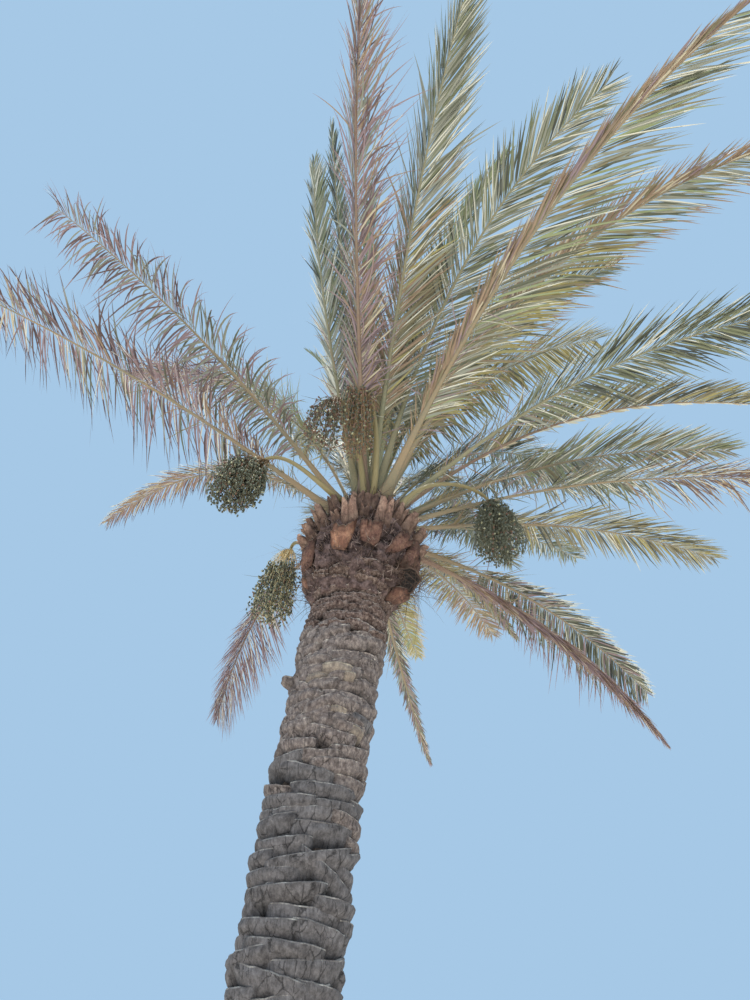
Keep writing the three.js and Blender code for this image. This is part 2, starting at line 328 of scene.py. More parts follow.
@dataclass(frozen=True, kw_only=True)
class WeatheredWood(Finish):
    """Old leaf bases: dry palm wood, grey where the sun has bleached it, with upright fibres and cracks.

    The gaps between them get painted shade, and their edges a painted highlight: that follows the painted
    light that the mesh carries.

    Attributes:
        dark: Colour of the hollows and cracks, sRGB hex.
        pale: Colour of the bleached patches, sRGB hex.
        patch: Size of a bleached patch.
        fibre: Distance between fibres.
        crack: Distance between cracks, or 0 for none.
        relief: Height of the fibres' bump.
        gap: How dark the gaps are, as a share of the full colour.
        plain: Place of the plain colour between dark and pale, higher for fewer pale patches.
    """

    dark: str
    pale: str
    patch: float
    fibre: float = 0.004
    crack: float = 0.0
    relief: float = 0.004
    # gap: How dark the painted shade in the gaps is, as a share of the full colour.
    gap: float = 0.3
    plain: float = 0.46

    # Name of the mesh attribute that holds painted light: painted shade in gaps, painted highlight on edges
    PAINTED_LIGHT = "painted_light"
    # Fibres and cracks are drawn out along the height by this scale
    STRETCH = (1.0, 1.0, 0.3)
    # Real fibres are too fine to show, so they are drawn this many times as coarse
    COARSE = 3
    # Values of a noise between which its whole range of tones is laid
    TONED = (0.3, 0.7)
    # How dark and how light fibres make the wood, and the painted highlight on a fully lit edge
    GRAIN = (0.6, 1.25)
    EDGE = 1.1
    # Cracks come and go in areas of about 11 cm, and waver by up to 2 cm
    CRACKED_AREAS = 9.0
    WAVER = (0.02, 0.02, 0.02)
    # Values of that noise between which cracks widen, their least and greatest width, and their tone
    CRACKED = (0.42, 0.62)
    CRACK_WIDTHS = (0.004, 0.05)
    CRACK_TONE = 0.3

    def pattern(self, tree: NodeTree, shader: Node) -> None:
        """Adds patches, upright fibres, cracks, and the painted shade and highlight that the mesh carries.

        Args:
            tree: The material's node tree.
            shader: Its shader.
        """
        place = add_node(tree, "TexCoord").outputs["Object"]
        stretched = add_node(tree, "Mapping", {"Vector": place, "Scale": self.STRETCH}).outputs[0]
        patches = add_node(tree, "TexNoise", {
            "Vector": place, "Scale": 1 / self.patch, "Detail": 6, "Roughness": 0.7})
        fibres = add_node(tree, "TexNoise", {
            "Vector": stretched, "Scale": 1 / self.fibre / self.COARSE, "Detail": 4, "Roughness": 0.75})
        ramp = add_node(tree, "ValToRGB", {"Fac": patches.outputs["Fac"]})
        steps = ramp.color_ramp.elements
        for step, position, colour in zip(steps, self.TONED, (self.dark, self.pale)):
            step.position, step.color = position, linear(colour)
        steps.new(self.plain).color = linear(self.colour)
        grain = add_node(tree, "MapRange", {
            "Value": fibres.outputs["Fac"], "From Min": self.TONED[0], "From Max": self.TONED[1],
            "To Min": self.GRAIN[0], "To Max": self.GRAIN[1]})
        # Painted light from the mesh: painted shade in the gaps and a painted highlight on edges
        painted_light = add_node(tree, "Attribute", attribute_name=self.PAINTED_LIGHT, attribute_type="GEOMETRY")
        worn = add_node(tree, "MapRange", {
            "Value": painted_light.outputs["Fac"], "To Min": self.gap, "To Max": self.EDGE})
        tone = add_node(tree, "Math", {
            0: grain.outputs[0], 1: worn.outputs[0]}, operation="MULTIPLY").outputs[0]
        height = fibres.outputs["Fac"]
        if self.crack:
            cracked = self.cracks(tree, place, stretched, patches.outputs["Color"])
            tone = add_node(tree, "Math", {0: tone, 1: cracked}, operation="MULTIPLY").outputs[0]
            height = add_node(tree, "Math", {0: height, 1: cracked}, operation="MULTIPLY").outputs[0]
        toned = add_node(tree, "VectorMath", {0: ramp.outputs["Color"], "Scale": tone}, operation="SCALE")
        tree.links.new(toned.outputs[0], shader.inputs["Base Color"])
        bump = add_node(tree, "Bump", {"Height": height, "Distance": self.relief, "Strength": 0.9})
        tree.links.new(bump.outputs[0], shader.inputs["Normal"])

    def cracks(self, tree: NodeTree, place: NodeSocket, stretched: NodeSocket,
               noise: NodeSocket) -> NodeSocket:
        """Adds wavering cracks that come and go.

        Args:
            tree: The material's node tree.
            place: Where a point lies.
            stretched: The same, drawn out along the height.
            noise: What makes them waver.

        Returns:
            1 on whole wood, and less in a crack.
        """
        wavering = add_node(tree, "VectorMath", {0: noise, 1: self.WAVER, 2: stretched},
                            operation="MULTIPLY_ADD")
        cells = add_node(tree, "TexVoronoi", {"Vector": wavering.outputs[0], "Scale": 1 / self.crack},
                         feature="DISTANCE_TO_EDGE")
        areas = add_node(tree, "TexNoise", {"Vector": place, "Scale": self.CRACKED_AREAS, "Detail": 1})
        width = add_node(tree, "MapRange", {
            "Value": areas.outputs["Fac"], "From Min": self.CRACKED[0], "From Max": self.CRACKED[1],
            "To Min": self.CRACK_WIDTHS[0], "To Max": self.CRACK_WIDTHS[1]})
        return add_node(tree, "MapRange", {
            "Value": cells.outputs["Distance"], "From Max": width.outputs[0],
            "To Min": self.CRACK_TONE}).outputs[0]


@dataclass(frozen=True, kw_only=True)
class StreakedStalk(Finish):
    """A living leaf stalk: smooth waxy skin with fine streaks of a second colour along it.

    Attributes:
        streak: The second colour, sRGB hex.
        width: Width of a streak.
    """

    streak: str
    width: float = 0.012

    # Broad blotches of the second colour, per metre, and the sum of both noises over which it sets in
    BROAD = 3.0
    BLEND = (0.82, 1.2)

    def pattern(self, tree: NodeTree, shader: Node) -> None:
        """Adds soft blotches of the second colour.

        Args:
            tree: The material's node tree.
            shader: Its shader.
        """
        place = add_node(tree, "TexCoord").outputs["Object"]
        broad = add_node(tree, "TexNoise", {"Vector": place, "Scale": self.BROAD, "Detail": 3})
        fine = add_node(tree, "TexNoise", {"Vector": place, "Scale": 1 / self.width, "Detail": 2})
        both = add_node(tree, "Math", {0: broad.outputs["Fac"], 1: fine.outputs["Fac"]}, operation="ADD")
        amount = add_node(tree, "MapRange", {
            "Value": both.outputs[0], "From Min": self.BLEND[0], "From Max": self.BLEND[1]})
        mixed = add_node(tree, "Mix", {
            "Factor": amount.outputs[0], 6: linear(self.colour), 7: linear(self.streak)}, data_type="RGBA")
        tree.links.new(mixed.outputs[2], shader.inputs["Base Color"])


class Tone(Enum):
    """The plain colours that leaflets are dealt, and the slot each belongs to."""

    # Fresh pale green of the innermost fronds
    YOUNG = ("leaf_young", "#98A07A")
    # Full-grown leaflets: dusty grey-green in the sun, then darker ones in the shade of others
    GREEN = ("leaf_green", "#82866A")
    DEEP = ("leaf_green", "#696C5B")
    SHADE = ("leaf_green", "#50534C")
    # Grey bloom of wax on the underside
    GREY = ("leaf_green", "#969789")
    # Ageing leaflets: sun shines through the yellow ones
    YELLOW = ("leaf_old", "#ADA26E")
    OLIVE = ("leaf_old", "#8C8367")
    # Painted reflection: the half of a folded leaflet that mirrors the sky, painted pale
    GLINT = ("leaf_old", "#E3DFCE")
    # Dry leaflets, from bleached straw to dead brown
    STRAW = ("leaf_dry", "#CABDA2")
    TAN = ("leaf_dry", "#A38B74")
    ROSE = ("leaf_dry", "#9D878A")
    BROWN = ("leaf_dry", "#705F60")

    @property
    def slot(self) -> str:
        """The record's material slot."""
        return self.value[0]

    @property
    def finish(self) -> Finish:
        """Waxy when green, dull when dry."""
        dry = self.slot == "leaf_dry"
        return Finish(f"palm_leaflet_{self.name.lower()}", self.value[1], 0.6 if dry else 0.5, 0.3)


Tones = tuple[tuple[Tone, float], ...]


def mix(**weights: float) -> Tones:
    """Tones with their weights."""
    return tuple((Tone[name], weight) for name, weight in weights.items())


@dataclass(frozen=True)
class Dress:
    """How the leaflets of a frond stand, and the colours they are dealt.

    Attributes:
        tones: Colours with their weights.
        far: Colours towards the frond's tip, or none where they stay the same.
        ends: Colour of the outer end of each leaflet, or None where it is the leaflet's own.
        spacing: Distance between leaflets on one side of the rib.
        length: Length of the longest leaflets.
        width: Widest part.
        spread: Angle from the rib, where leaflets begin and at the tip.
        fold: How far both sides are raised over the rib's side.
        sag: Share of its length by which a leaflet's end bends down.
        hook: Share of its length by which a leaflet's end bends back to the head.
        curl: Share of its length by which it bends aside at random.
        scatter: Random turn of spread and fold.
        twist: Random turn of the blade about itself along its length.
        missing: Share of leaflets that are gone.
        tip: Length of the last leaflets as a share of the longest.
        bare: Share of the leafy part before the first leaflet.
    """

    tones: Tones
    far: Tones = ()
    ends: Tone | None = None
    spacing: float = 0.0135
    length: float = 0.5
    width: float = 0.0165
    spread: tuple[float, float] = (48.0, 24.0)
    fold: float = 12.0
    sag: float = 0.1
    hook: float = 0.0
    curl: float = 0.03
    scatter: tuple[float, float] = (4.0, 11.0)
    twist: float = 30.0
    missing: float = 0.03
    tip: float = 0.32
    bare: float = 0.0


# Mixes of tones: GLINT in them is a painted highlight, and DEEP and SHADE are painted shade
GREENS = mix(GREEN=5, GREY=3, DEEP=3, SHADE=2, GLINT=2)
GREYS = mix(GREY=6, GREEN=3, DEEP=2, SHADE=1, GLINT=3)
ASHY = mix(DEEP=4, ROSE=2, SHADE=3, GREY=3, GLINT=2)
SHADY = mix(DEEP=5, SHADE=5, GREEN=2, GLINT=1.2)
GOLDS = mix(YELLOW=7, OLIVE=3, DEEP=1, GLINT=2)
OLIVES = mix(OLIVE=5, GREY=3, YELLOW=2, SHADE=2, GLINT=2)
BROWNS = mix(ROSE=5, TAN=3, BROWN=2, OLIVE=1, STRAW=1.2)
DEADS = mix(ROSE=5, BROWN=3, GREY=2, STRAW=0.6, GLINT=2)
TANS = mix(TAN=3, BROWN=4, STRAW=1, GLINT=2)
BUNDLED = mix(TAN=5, ROSE=4, BROWN=1, STRAW=1.5)
MAUVES = mix(ROSE=5, BROWN=3, GREY=3, DEEP=2, GLINT=1.2)
PALED = mix(ROSE=7, BROWN=3, GLINT=5)
HAZY = mix(ROSE=5, GREY=4, TAN=3, BROWN=1, GLINT=1)
TAWNY = mix(TAN=6, STRAW=1.5, OLIVE=3, ROSE=1)
RUSTY = mix(OLIVE=4, TAN=4, YELLOW=2, GREY=1, GLINT=2)
TURNING = mix(OLIVE=5, DEEP=3, TAN=3, GLINT=1)
TANGLED = mix(ROSE=4, TAN=3, BROWN=3, DEEP=2, GLINT=3.5)
FRESH = mix(YOUNG=4, YELLOW=4, GREY=2, GLINT=2)
LIT = mix(GREY=5, OLIVE=2, YOUNG=2, DEEP=2, GLINT=2)
SUNLIT = mix(GLINT=6, GREY=2)

YOUNG = Dress(mix(YOUNG=5, GREY=2, DEEP=2), fold=40, length=0.38, width=0.015, spread=(32, 14), sag=0.03)
FOLDED = replace(YOUNG, spread=(14, 6), length=0.3)
GREEN = Dress(GREENS, ends=Tone.OLIVE)
UPRIGHT = Dress(GREYS, GREENS, spread=(38, 16), fold=30, length=0.46, sag=0.02, tip=0.25)
GREY = Dress(GREYS, length=0.54, fold=2)
GOLDEN = Dress(GOLDS, ends=Tone.STRAW, length=0.5)
OLIVE = Dress(OLIVES, ends=Tone.TAN, sag=0.16, length=0.5)
RUSSET = Dress(OLIVES, BROWNS, Tone.ROSE, spacing=0.013, width=0.014, sag=0.14, curl=0.1, scatter=(8, 16))
CURLED = Dress(mix(GREY=5, DEEP=4, ROSE=3), mix(ROSE=4, GREY=4, BROWN=3), Tone.ROSE, length=0.52,
               spread=(66, 50), fold=4, sag=0.4, hook=0.22, curl=0.11, scatter=(8, 13), twist=50,
               missing=0.08, tip=0.6)
WITHERED = replace(CURLED, tones=MAUVES, far=DEADS, ends=Tone.BROWN, spacing=0.014, sag=0.8, hook=0.1)
DEAD = Dress(DEADS, ends=Tone.ROSE, spacing=0.009, width=0.012, spread=(70, 40), fold=-35, sag=0.3,
             curl=0.05, scatter=(7, 12), twist=60, missing=0.05)
NARROW = Dress(SHADY, spread=(30, 13), fold=20, length=0.36)
STRAY = Dress(mix(OLIVE=3, TAN=3, ROSE=3, GLINT=1, DEEP=2), spacing=0.04, length=0.36, width=0.008,
              spread=(45, 30), fold=20, curl=0.16, scatter=(20, 40))
LIMP = replace(OLIVE, tones=TURNING, far=BUNDLED, ends=Tone.BROWN, spread=(40, 22), sag=0.4, hook=0.15,
               length=0.36, spacing=0.013, width=0.013)
ASHEN = replace(NARROW, spread=(38, 22), tones=ASHY, far=ASHY, ends=Tone.GLINT, tip=0.25, spacing=0.011,
                bare=0.15)
CLOSED = Dress(BUNDLED, ends=Tone.ROSE, spacing=0.01, spread=(6.5, 3.5), fold=-40, length=0.36, width=0.012,
               scatter=(2.5, 40), tip=0.2)


class Age(Enum):
    """How old a frond is, which decides its stalk's finish."""

    # The smooth skin of a leaf stalk: pale green under wax while it is young
    YOUNG = StreakedStalk("young_palm_stalk", "#A9AD8C", 0.6, 0.25, streak="#BDBB9C")
    # Then a dull green that turns buff in streaks
    GREEN = StreakedStalk("green_palm_stalk", "#8D8C72", 0.6, 0.25, streak="#A19679")
    # Buff all over as it ages
    OLD = StreakedStalk("old_palm_stalk", "#938A73", 0.65, 0.25, streak="#A58F73")
    # Dry, duller, and brown in places
    DRY = StreakedStalk("dry_palm_stalk", "#95836F", 0.7, 0.25, streak="#8C7264")


@dataclass(frozen=True)
class Frond:
    """One feather frond: a stalk that becomes the rib, and its leaflets.

    Attributes:
        name: Its plain name.
        azimuth: Where it heads.
        rise: How steeply it starts above level.
        droop: How far its tip has bent down from that.
        sway: How far its tip has turned aside.
        length: Length of the rib.
        age: Finish of the stalk.
        dress: Its leaflets.
        roll: How far the blade is turned about the rib.
        left: The leaflets on the side that is on the left from below, with the tip up, where they differ.
    """

    name: str
    azimuth: float
    rise: float
    droop: float
    sway: float
    length: float
    age: Age
    dress: Dress
    roll: float = 0.0
    left: Dress | None = None

    DROOP_POWER = 1.5
    SWAY_POWER = 2.0
    DOME_HEIGHT = 5.0
    DOME_RADIUS = 0.25
    DOME_RISE = 0.22
    SPLIT_DROOP = 60.0
    STEPS = 160

    def nodes(self) -> list[str]:
        """The solids of this frond: two where it bends far."""
        name = f"frond_{self.name}"
        return [f"{name}_stalk", f"{name}_tip"] if self.droop >= self.SPLIT_DROOP else [name]

    def axes(self, t: Array) -> tuple[Array, Array, Array]:
        """Directions of the rib at shares of its length.

        Args:
            t: Shares from 0 at the head to 1 at the tip.

        Returns:
            Unit vectors along the rib, to its side and up from it.
        """
        rise = np.radians(self.rise - self.droop * np.maximum(t, 0) ** self.DROOP_POWER)
        azimuth = self.azimuth + self.sway * t ** self.SWAY_POWER
        flat, side = bearing(azimuth), bearing(azimuth + 90)
        along = np.cos(rise)[..., None] * flat - np.sin(rise)[..., None] * DOWN
        up = np.cross(along, side)
        turn = np.radians(self.roll * np.clip(t * 2, 0, 1))[..., None]
        return along, side * np.cos(turn) + up * np.sin(turn), up * np.cos(turn) - side * np.sin(turn)

    def points(self, t: Array) -> Array:
        """Points on the middle of the rib at shares of its length."""
        rise = math.radians(self.rise)
        start = bearing(self.azimuth) * self.DOME_RADIUS * math.cos(rise)
        start += (lean(Trunk.LEAN_HEIGHT), 0, self.DOME_HEIGHT + self.DOME_RISE * math.sin(rise))
        grid = np.linspace(0, 1, self.STEPS + 1)
        steps = self.axes((grid[1:] + grid[:-1]) / 2)[0] * self.length / self.STEPS
        path = start + np.vstack([np.zeros(3), np.cumsum(steps, axis=0)])
        return np.stack([np.interp(t, grid, path[:, k]) for k in range(3)], axis=-1)


def fronds() -> list[Frond]:
    """The plant's fronds, from the left of the view round by the front to the right and the back."""
    return [
        Frond("upper_left", 208, 44, 22, 2, 3.2, Age.OLD, CURLED),
        Frond("left", 199, 29, 20, 2, 3.5, Age.OLD,
              replace(WITHERED, tones=TANGLED, sag=0.2, spacing=0.012, tip=0.36), 0,
              replace(WITHERED, spread=(102, 86), sag=0.85, hook=0.45, length=0.34, spacing=0.012, tip=0.45)),
        Frond("low_left", 149, 50, 70, -4, 3.4, Age.OLD, replace(LIMP, ends=Tone.GLINT), 0, LIMP),
        Frond("hang_left", 119, 26, 75, -9, 3.3, Age.DRY,
              replace(DEAD, tones=PALED, spread=(46, 16), length=0.32, bare=0.3, tip=0.2), 0,
              replace(DEAD, tones=PALED, spread=(70, 26), bare=0.3, length=0.46, tip=0.12)),
        Frond("back_left", 166, 69, 70, 6, 3.3, Age.OLD,
              replace(GOLDEN, tones=FRESH, far=DEADS, ends=None, spacing=0.0085, sag=0.3, curl=0.26,
                      width=0.012)),
        Frond("rise_left", 242, 62, 0, 22, 2.95, Age.GREEN, replace(UPRIGHT, far=GREYS), -24,
              replace(UPRIGHT, tones=SUNLIT, far=GREYS, spread=(28, 12), spacing=0.01)),
        Frond("rise_left_in", 253, 66, 8, 6, 3.3, Age.GREEN, replace(UPRIGHT, tones=SHADY, fold=62)),
        Frond("near_brown", 263.5, 53, 40, 11, 3.5, Age.DRY,
              replace(RUSSET, tones=BROWNS, far=HAZY, fold=36, spread=(40, 24), curl=0.2, length=0.5,
                      width=0.013, spacing=0.01), -24,
              replace(RUSSET, tones=HAZY, far=HAZY, fold=46, spread=(28, 15), spacing=0.008, width=0.013)),
        Frond("near_green", 280, 58, 50, 2, 3.45, Age.GREEN,
              replace(GOLDEN, tones=RUSTY, far=GREYS, ends=None, length=0.62, fold=42, spread=(42, 24),
                      spacing=0.01), -34),
        Frond("rise_right", 299, 63, 74, 9, 3.45, Age.GREEN, replace(GREY, fold=16), -16),
        Frond("near_right", 298, 34, 54, 5, 3.55, Age.OLD,
              replace(GREY, tones=LIT, length=0.6, fold=37, spread=(46, 28), spacing=0.0145), -45,
              replace(RUSSET, tones=TAWNY, far=TAWNY, ends=Tone.TAN, fold=30, length=0.42, spread=(17, 10),
                      spacing=0.0045, width=0.017, scatter=(4, 14), curl=0.02)),
        Frond("far_right", 316, 54, 80, 7, 3.7, Age.OLD,
              replace(OLIVE, fold=18, length=0.58, tones=GOLDS, far=LIT, spacing=0.0145), -26,
              replace(RUSSET, tones=TAWNY, far=TAWNY, ends=Tone.TAN, fold=30, spread=(26, 18), spacing=0.009,
                      length=0.42)),
        Frond("right_a", 341, 40, 49, -1, 3.5, Age.GREEN,
              replace(GREY, tones=GREENS, fold=-6, length=0.58, far=SHADY, bare=0.18)),
        Frond("right_b", 0, 46, 60, -6, 3.5, Age.DRY,
              replace(OLIVE, fold=10, tones=mix(GLINT=3, STRAW=1), ends=None, spacing=0.06,
                      length=0.15, width=0.032, spread=(18, 12), scatter=(5, 20), sag=0.0), 0,
              replace(OLIVE, fold=36, ends=Tone.OLIVE, spread=(40, 22), length=0.54, bare=0.1)),
        Frond("right_c", 9, 37, 36, -6, 3.3, Age.OLD,
              replace(GOLDEN, fold=16, tones=LIT, ends=None, spacing=0.0115, bare=0.24)),
        Frond("right_d", 10, 29, 34, -12, 3.5, Age.OLD,
              replace(RUSSET, fold=4, tones=GREYS, far=TANS, ends=Tone.TAN, length=0.5, bare=0.24)),
        Frond("right_e", 22, 25, 31, -5, 3.25, Age.OLD,
              replace(GOLDEN, fold=8, sag=0.16, tones=OLIVES, ends=None, tip=0.25, bare=0.12)),
        Frond("right_f", 6, 69, 47, 1, 3.4, Age.GREEN,
              replace(GOLDEN, fold=-16, length=0.6, ends=None, spacing=0.012, spread=(58, 34))),
        Frond("back_right_a", 45, 35, 23, 0, 3.35, Age.GREEN, GREEN),
        Frond("back_right_b", 65, 27, 25, 0, 3.3, Age.OLD, replace(GOLDEN, far=TAWNY, ends=Tone.TAN)),
        Frond("low_right_a", 38, 4, 32, 4, 3.4, Age.DRY,
              replace(CLOSED, spacing=0.007, sag=0.12, scatter=(5, 30)), 0, replace(CLOSED, spacing=0.006)),
        Frond("low_right_b", 40, 14, 40, -3, 3.25, Age.OLD,
              replace(ASHEN, spread=(52, 34), fold=-10, ends=Tone.ROSE, length=0.5, sag=0.4, curl=0.1), 0,
              ASHEN),
        Frond("low_back_a", 82, 23, 20, -7, 3.35, Age.OLD,
              replace(GOLDEN, tones=mix(YELLOW=6, YOUNG=2, GLINT=1), sag=0.2, length=0.36)),
        Frond("low_back_b", 81, 5, 23, -9, 3.4, Age.OLD,
              replace(NARROW, tones=ASHY, far=MAUVES, length=0.24, width=0.013, spread=(26, 10),
                      spacing=0.012)),
        Frond("low_back_c", 98, 14, 35, 0, 3.3, Age.OLD, replace(GOLDEN, spread=(36, 18))),
        Frond("low_back_d", 54, 22, 36, 0, 2.3, Age.OLD, replace(NARROW, tones=OLIVES, length=0.2)),
        Frond("low_back_e", 97, 32, 30, 0, 3.4, Age.GREEN, GREEN),
        Frond("mid_back_a", 84, 42, 40, 0, 3.4, Age.GREEN, GREEN),
        Frond("mid_back_b", 58, 45, 42, 0, 3.4, Age.GREEN, GREEN),
        Frond("mid_back_c", 103, 49, 38, 0, 3.3, Age.GREEN, GREEN),
        Frond("mid_back_d", 28, 46, 38, 0, 3.4, Age.GREEN, GREY),
        Frond("high_back_a", 93, 64, 46, 0, 3.3, Age.GREEN, GREEN),
        Frond("high_back_b", 66, 60, 50, 0, 3.4, Age.GREEN, GREEN),
        Frond("high_back_c", 116, 70, 48, -5, 3.2, Age.GREEN, GREEN),
        Frond("high_back_d", 38, 60, 52, 0, 3.4, Age.GREEN, GREEN),
        Frond("crown_a", 300, 76, 55, 8, 3.2, Age.YOUNG, YOUNG),
        Frond("crown_b", 340, 70, 55, 5, 3.3, Age.GREEN, GREEN),
        Frond("crown_c", 20, 78, 42, 0, 3.1, Age.YOUNG, YOUNG),
        Frond("crown_d", 90, 79, 45, 10, 3.05, Age.YOUNG, YOUNG),
        Frond("crown_e", 262, 79, 22, 10, 3.0, Age.YOUNG, YOUNG),
        Frond("crown_f", 322, 82, 26, 0, 2.85, Age.YOUNG, YOUNG),
        Frond("crown_g", 140, 82, 26, 0, 2.8, Age.YOUNG, FOLDED),
        Frond("spear", 220, 88, 3, 0, 2.3, Age.YOUNG, FOLDED),
    ]


@dataclass
class Crown:
    """All fronds: their stalks, spines and leaflets.

    Attributes:
        fronds: The fronds.
        seed: Start of the random draws.
        leafy_from: Share of the rib where leaflets begin.
        stray: Shares of the rib between which stray thin leaflets cross the others.
        end_share: Share of a leaflet that its dry end takes up.
        keel: Depth of a leaflet's fold, as a share of its half width.
        spiny_from: Share of the rib where spines begin.
        spine_length: Shortest and longest spine.
        spine_spacing: Distance between spines on one side.
        spine_radius: Radius of a spine at its root.
        spine_angle: Angle of spines from the rib and its random turn.
        spine_rise: How far they are raised over the rib's side and its random turn.
    """

    fronds: list[Frond] = field(default_factory=fronds)
    seed: int = 11
    leafy_from: float = 0.19
    stray: tuple[float, float] = (0.14, 0.5)
    end_share: float = 0.24
    keel: float = 0.35
    spiny_from: float = 0.11
    spine_length: tuple[float, float] = (0.05, 0.15)
    spine_spacing: float = 0.034
    spine_radius: float = 0.0042
    spine_angle: tuple[float, float] = (48.0, 9.0)
    spine_rise: tuple[float, float] = (18.0, 12.0)

    # Half width and half depth of the rib, at shares of its length, and how round its top is
    RIB_SHARES = (0.0, 0.05, 0.1, 0.2, 0.3, 0.6, 0.85, 1.0)
    RIB_HALF_WIDTHS = (0.066, 0.036, 0.028, 0.02, 0.015, 0.009, 0.005, 0.0025)
    RIB_HALF_DEPTHS = (0.03, 0.021, 0.017, 0.014, 0.012, 0.007, 0.004, 0.0025)
    RIB_TOP = 0.45
    # Length of the leaflets as a share of the longest, from where they begin to the tip
    LENGTH_SHARES = (0.0, 0.12, 0.3, 0.6, 0.85, 1.0)
    LENGTHS = (0.4, 0.75, 1.0, 0.95, 0.74)
    # Their width as a share of the widest
    WIDTH_SHARES = (0.0, 0.8, 1.0)
    WIDTHS = (1.0, 0.9, 0.6)
    # Outline of one leaflet: its width at the root, where it is widest, and how it comes to its point
    ROOT_WIDTH = 0.35
    WIDEST = 0.22
    POINT_POWERS = (2.6, 0.9)
    # How far out on the rib's half width leaflets and spines are rooted
    LEAFLET_ROOT = 0.7
    SPINE_ROOT = 0.8
    # How much of its radius a spine loses to its point
    SPINE_TAPER = 0.93
    # Leaflets start flatter and soon reach their fold
    FOLD_START = 0.3
    FOLD_RATE = 4
    # Least and greatest of random factors, and a random shift as a share of the spacing
    LENGTH_SPREAD = (0.85, 1.1)
    WIDTH_SPREAD = (0.75, 1.15)
    SAG_SPREAD = (0.4, 1.4)
    SPINE_SPREAD = (0.7, 1.2)
    SHIFT = 0.3
    # Share of the leafy part where the far colours set in, and over which they take over
    FAR_START = 0.3
    FAR_REACH = 0.35

    def __post_init__(self) -> None:
        """Draws the shapes that are repeated."""
        self.random = np.random.default_rng(self.seed)
        self.blade = Template.strip(2, 5, 0.0, 1 - self.end_share, pointed=False)
        self.end = Template.strip(2, 2, 1 - self.end_share, 1.0)
        half = Template.strip(1, 5, 0.0, 1 - self.end_share, pointed=False)
        self.halves = [replace(half, points=half.points * (0.5, 1, 1) + (side / 2, 0, 0)) for side in (1, -1)]
        self.rod = Template.rod(8, 44)
        self.spine = Template.rod(3, 2)

    def half_width(self, t: Array) -> Array:
        """Half the rib's width at shares of its length."""
        return np.interp(t, self.RIB_SHARES, self.RIB_HALF_WIDTHS)

    def half_depth(self, t: Array) -> Array:
        """Half the rib's depth at shares of its length."""
        return np.interp(t, self.RIB_SHARES, self.RIB_HALF_DEPTHS)

    def stalk(self, frond: Frond) -> Array:
        """Bends the rod into a frond's stalk and rib: flat on top and rounded below.

        Args:
            frond: The frond.

        Returns:
            The rod's corners.
        """
        x, y, t = self.rod.points.T
        _, side, up = frond.axes(t)
        height = np.where(y > 0, y * self.RIB_TOP, y) * self.half_depth(t)
        points = frond.points(t) + side * (x * self.half_width(t))[:, None] + up * height[:, None]
        return points[None]

    def curve(self, shape: Template, root: Array, heading: Array, face: Array,
              length: Array, width: Array, bend: Array, twist: Array) -> Array:
        """Bends a strip into leaflets.

        Args:
            shape: The strip, or its outer end.
            root: Where each leaflet leaves the rib.
            heading: Unit vectors along each leaflet at its root.
            face: Vectors out of each leaflet's upper face.
            length: Lengths.
            width: Greatest widths.
            bend: How far each end is pushed aside, as a share of its length.
            twist: Turn of each blade about itself from root to end, in radians.

        Returns:
            The leaflets' corners.
        """
        x, s, _ = shape.points.T[:, None, :, None]
        heading, bend, length = heading[:, None], bend[:, None], length[:, None, None]
        middle = root[:, None] + length * (s * heading + s ** 2 * bend)
        tangent = unit(heading + 2 * s * bend)
        side = unit(np.cross(tangent, np.broadcast_to(face[:, None], tangent.shape)))
        out = np.cross(side, tangent)
        turn = twist[:, None, None] * s
        side, out = side * np.cos(turn) + out * np.sin(turn), out * np.cos(turn) - side * np.sin(turn)
        outline = self.ROOT_WIDTH + (1 - self.ROOT_WIDTH) * np.minimum(1, s / self.WIDEST)
        half = width[:, None, None] / 2 * (outline * (1 - s ** self.POINT_POWERS[0]) ** self.POINT_POWERS[1])
        return middle + half * (x * side + self.keel * np.abs(x) * out)

    def leaflets(self, frond: Frond, hand: int, dress: Dress, reach: tuple[float, float],
                 heaps: dict[Tone, Heap]) -> None:
        """Adds the leaflets of one side of a frond to the heaps of their colours.

        Args:
            frond: The frond.
            hand: 1 or -1, the side of the rib.
            dress: How the leaflets stand.
            reach: Shares of the rib between which they grow.
            heaps: One heap for each tone.
        """
        draw, (first, last) = self.random, reach
        count = int((last - first) * frond.length / dress.spacing)
        step = (np.arange(count) + draw.uniform(-self.SHIFT, self.SHIFT, count)) / count
        step = np.clip(step[draw.random(count) >= dress.missing], 0, 1)
        count = len(step)
        t = first + (last - first) * step
        along, side, up = frond.axes(t)
        root = frond.points(t) + side * (hand * self.LEAFLET_ROOT * self.half_width(t))[:, None]
        spread = np.interp(step, (0, 1), dress.spread) + draw.normal(0, dress.scatter[0], count)
        fold = dress.fold * np.minimum(1, step * self.FOLD_RATE + self.FOLD_START)
        fold = fold + draw.normal(0, dress.scatter[1], count)
        spread, fold = np.radians(spread)[:, None], np.radians(fold)[:, None]
        outward = hand * side * np.cos(fold) + up * np.sin(fold)
        heading = unit(along * np.cos(spread) + outward * np.sin(spread))
        face = up * np.cos(fold) - hand * side * np.sin(fold)
        length = np.interp(step, self.LENGTH_SHARES, (*self.LENGTHS, dress.tip)) * dress.length
        length = length * draw.uniform(*self.LENGTH_SPREAD, count)
        bend = dress.sag * DOWN * draw.uniform(*self.SAG_SPREAD, count)[:, None] - dress.hook * along
        bend = bend + dress.curl * draw.normal(0, 1, (count, 3))
        width = dress.width * draw.uniform(*self.WIDTH_SPREAD, count)
        width = width * np.interp(step, self.WIDTH_SHARES, self.WIDTHS)
        twist = np.radians(draw.normal(0, dress.twist, count))
        outer = bool(dress.far) & (draw.random(count) < (step - self.FAR_START) / self.FAR_REACH)
        for tones, there in ((dress.tones, ~outer), (dress.far, outer)):
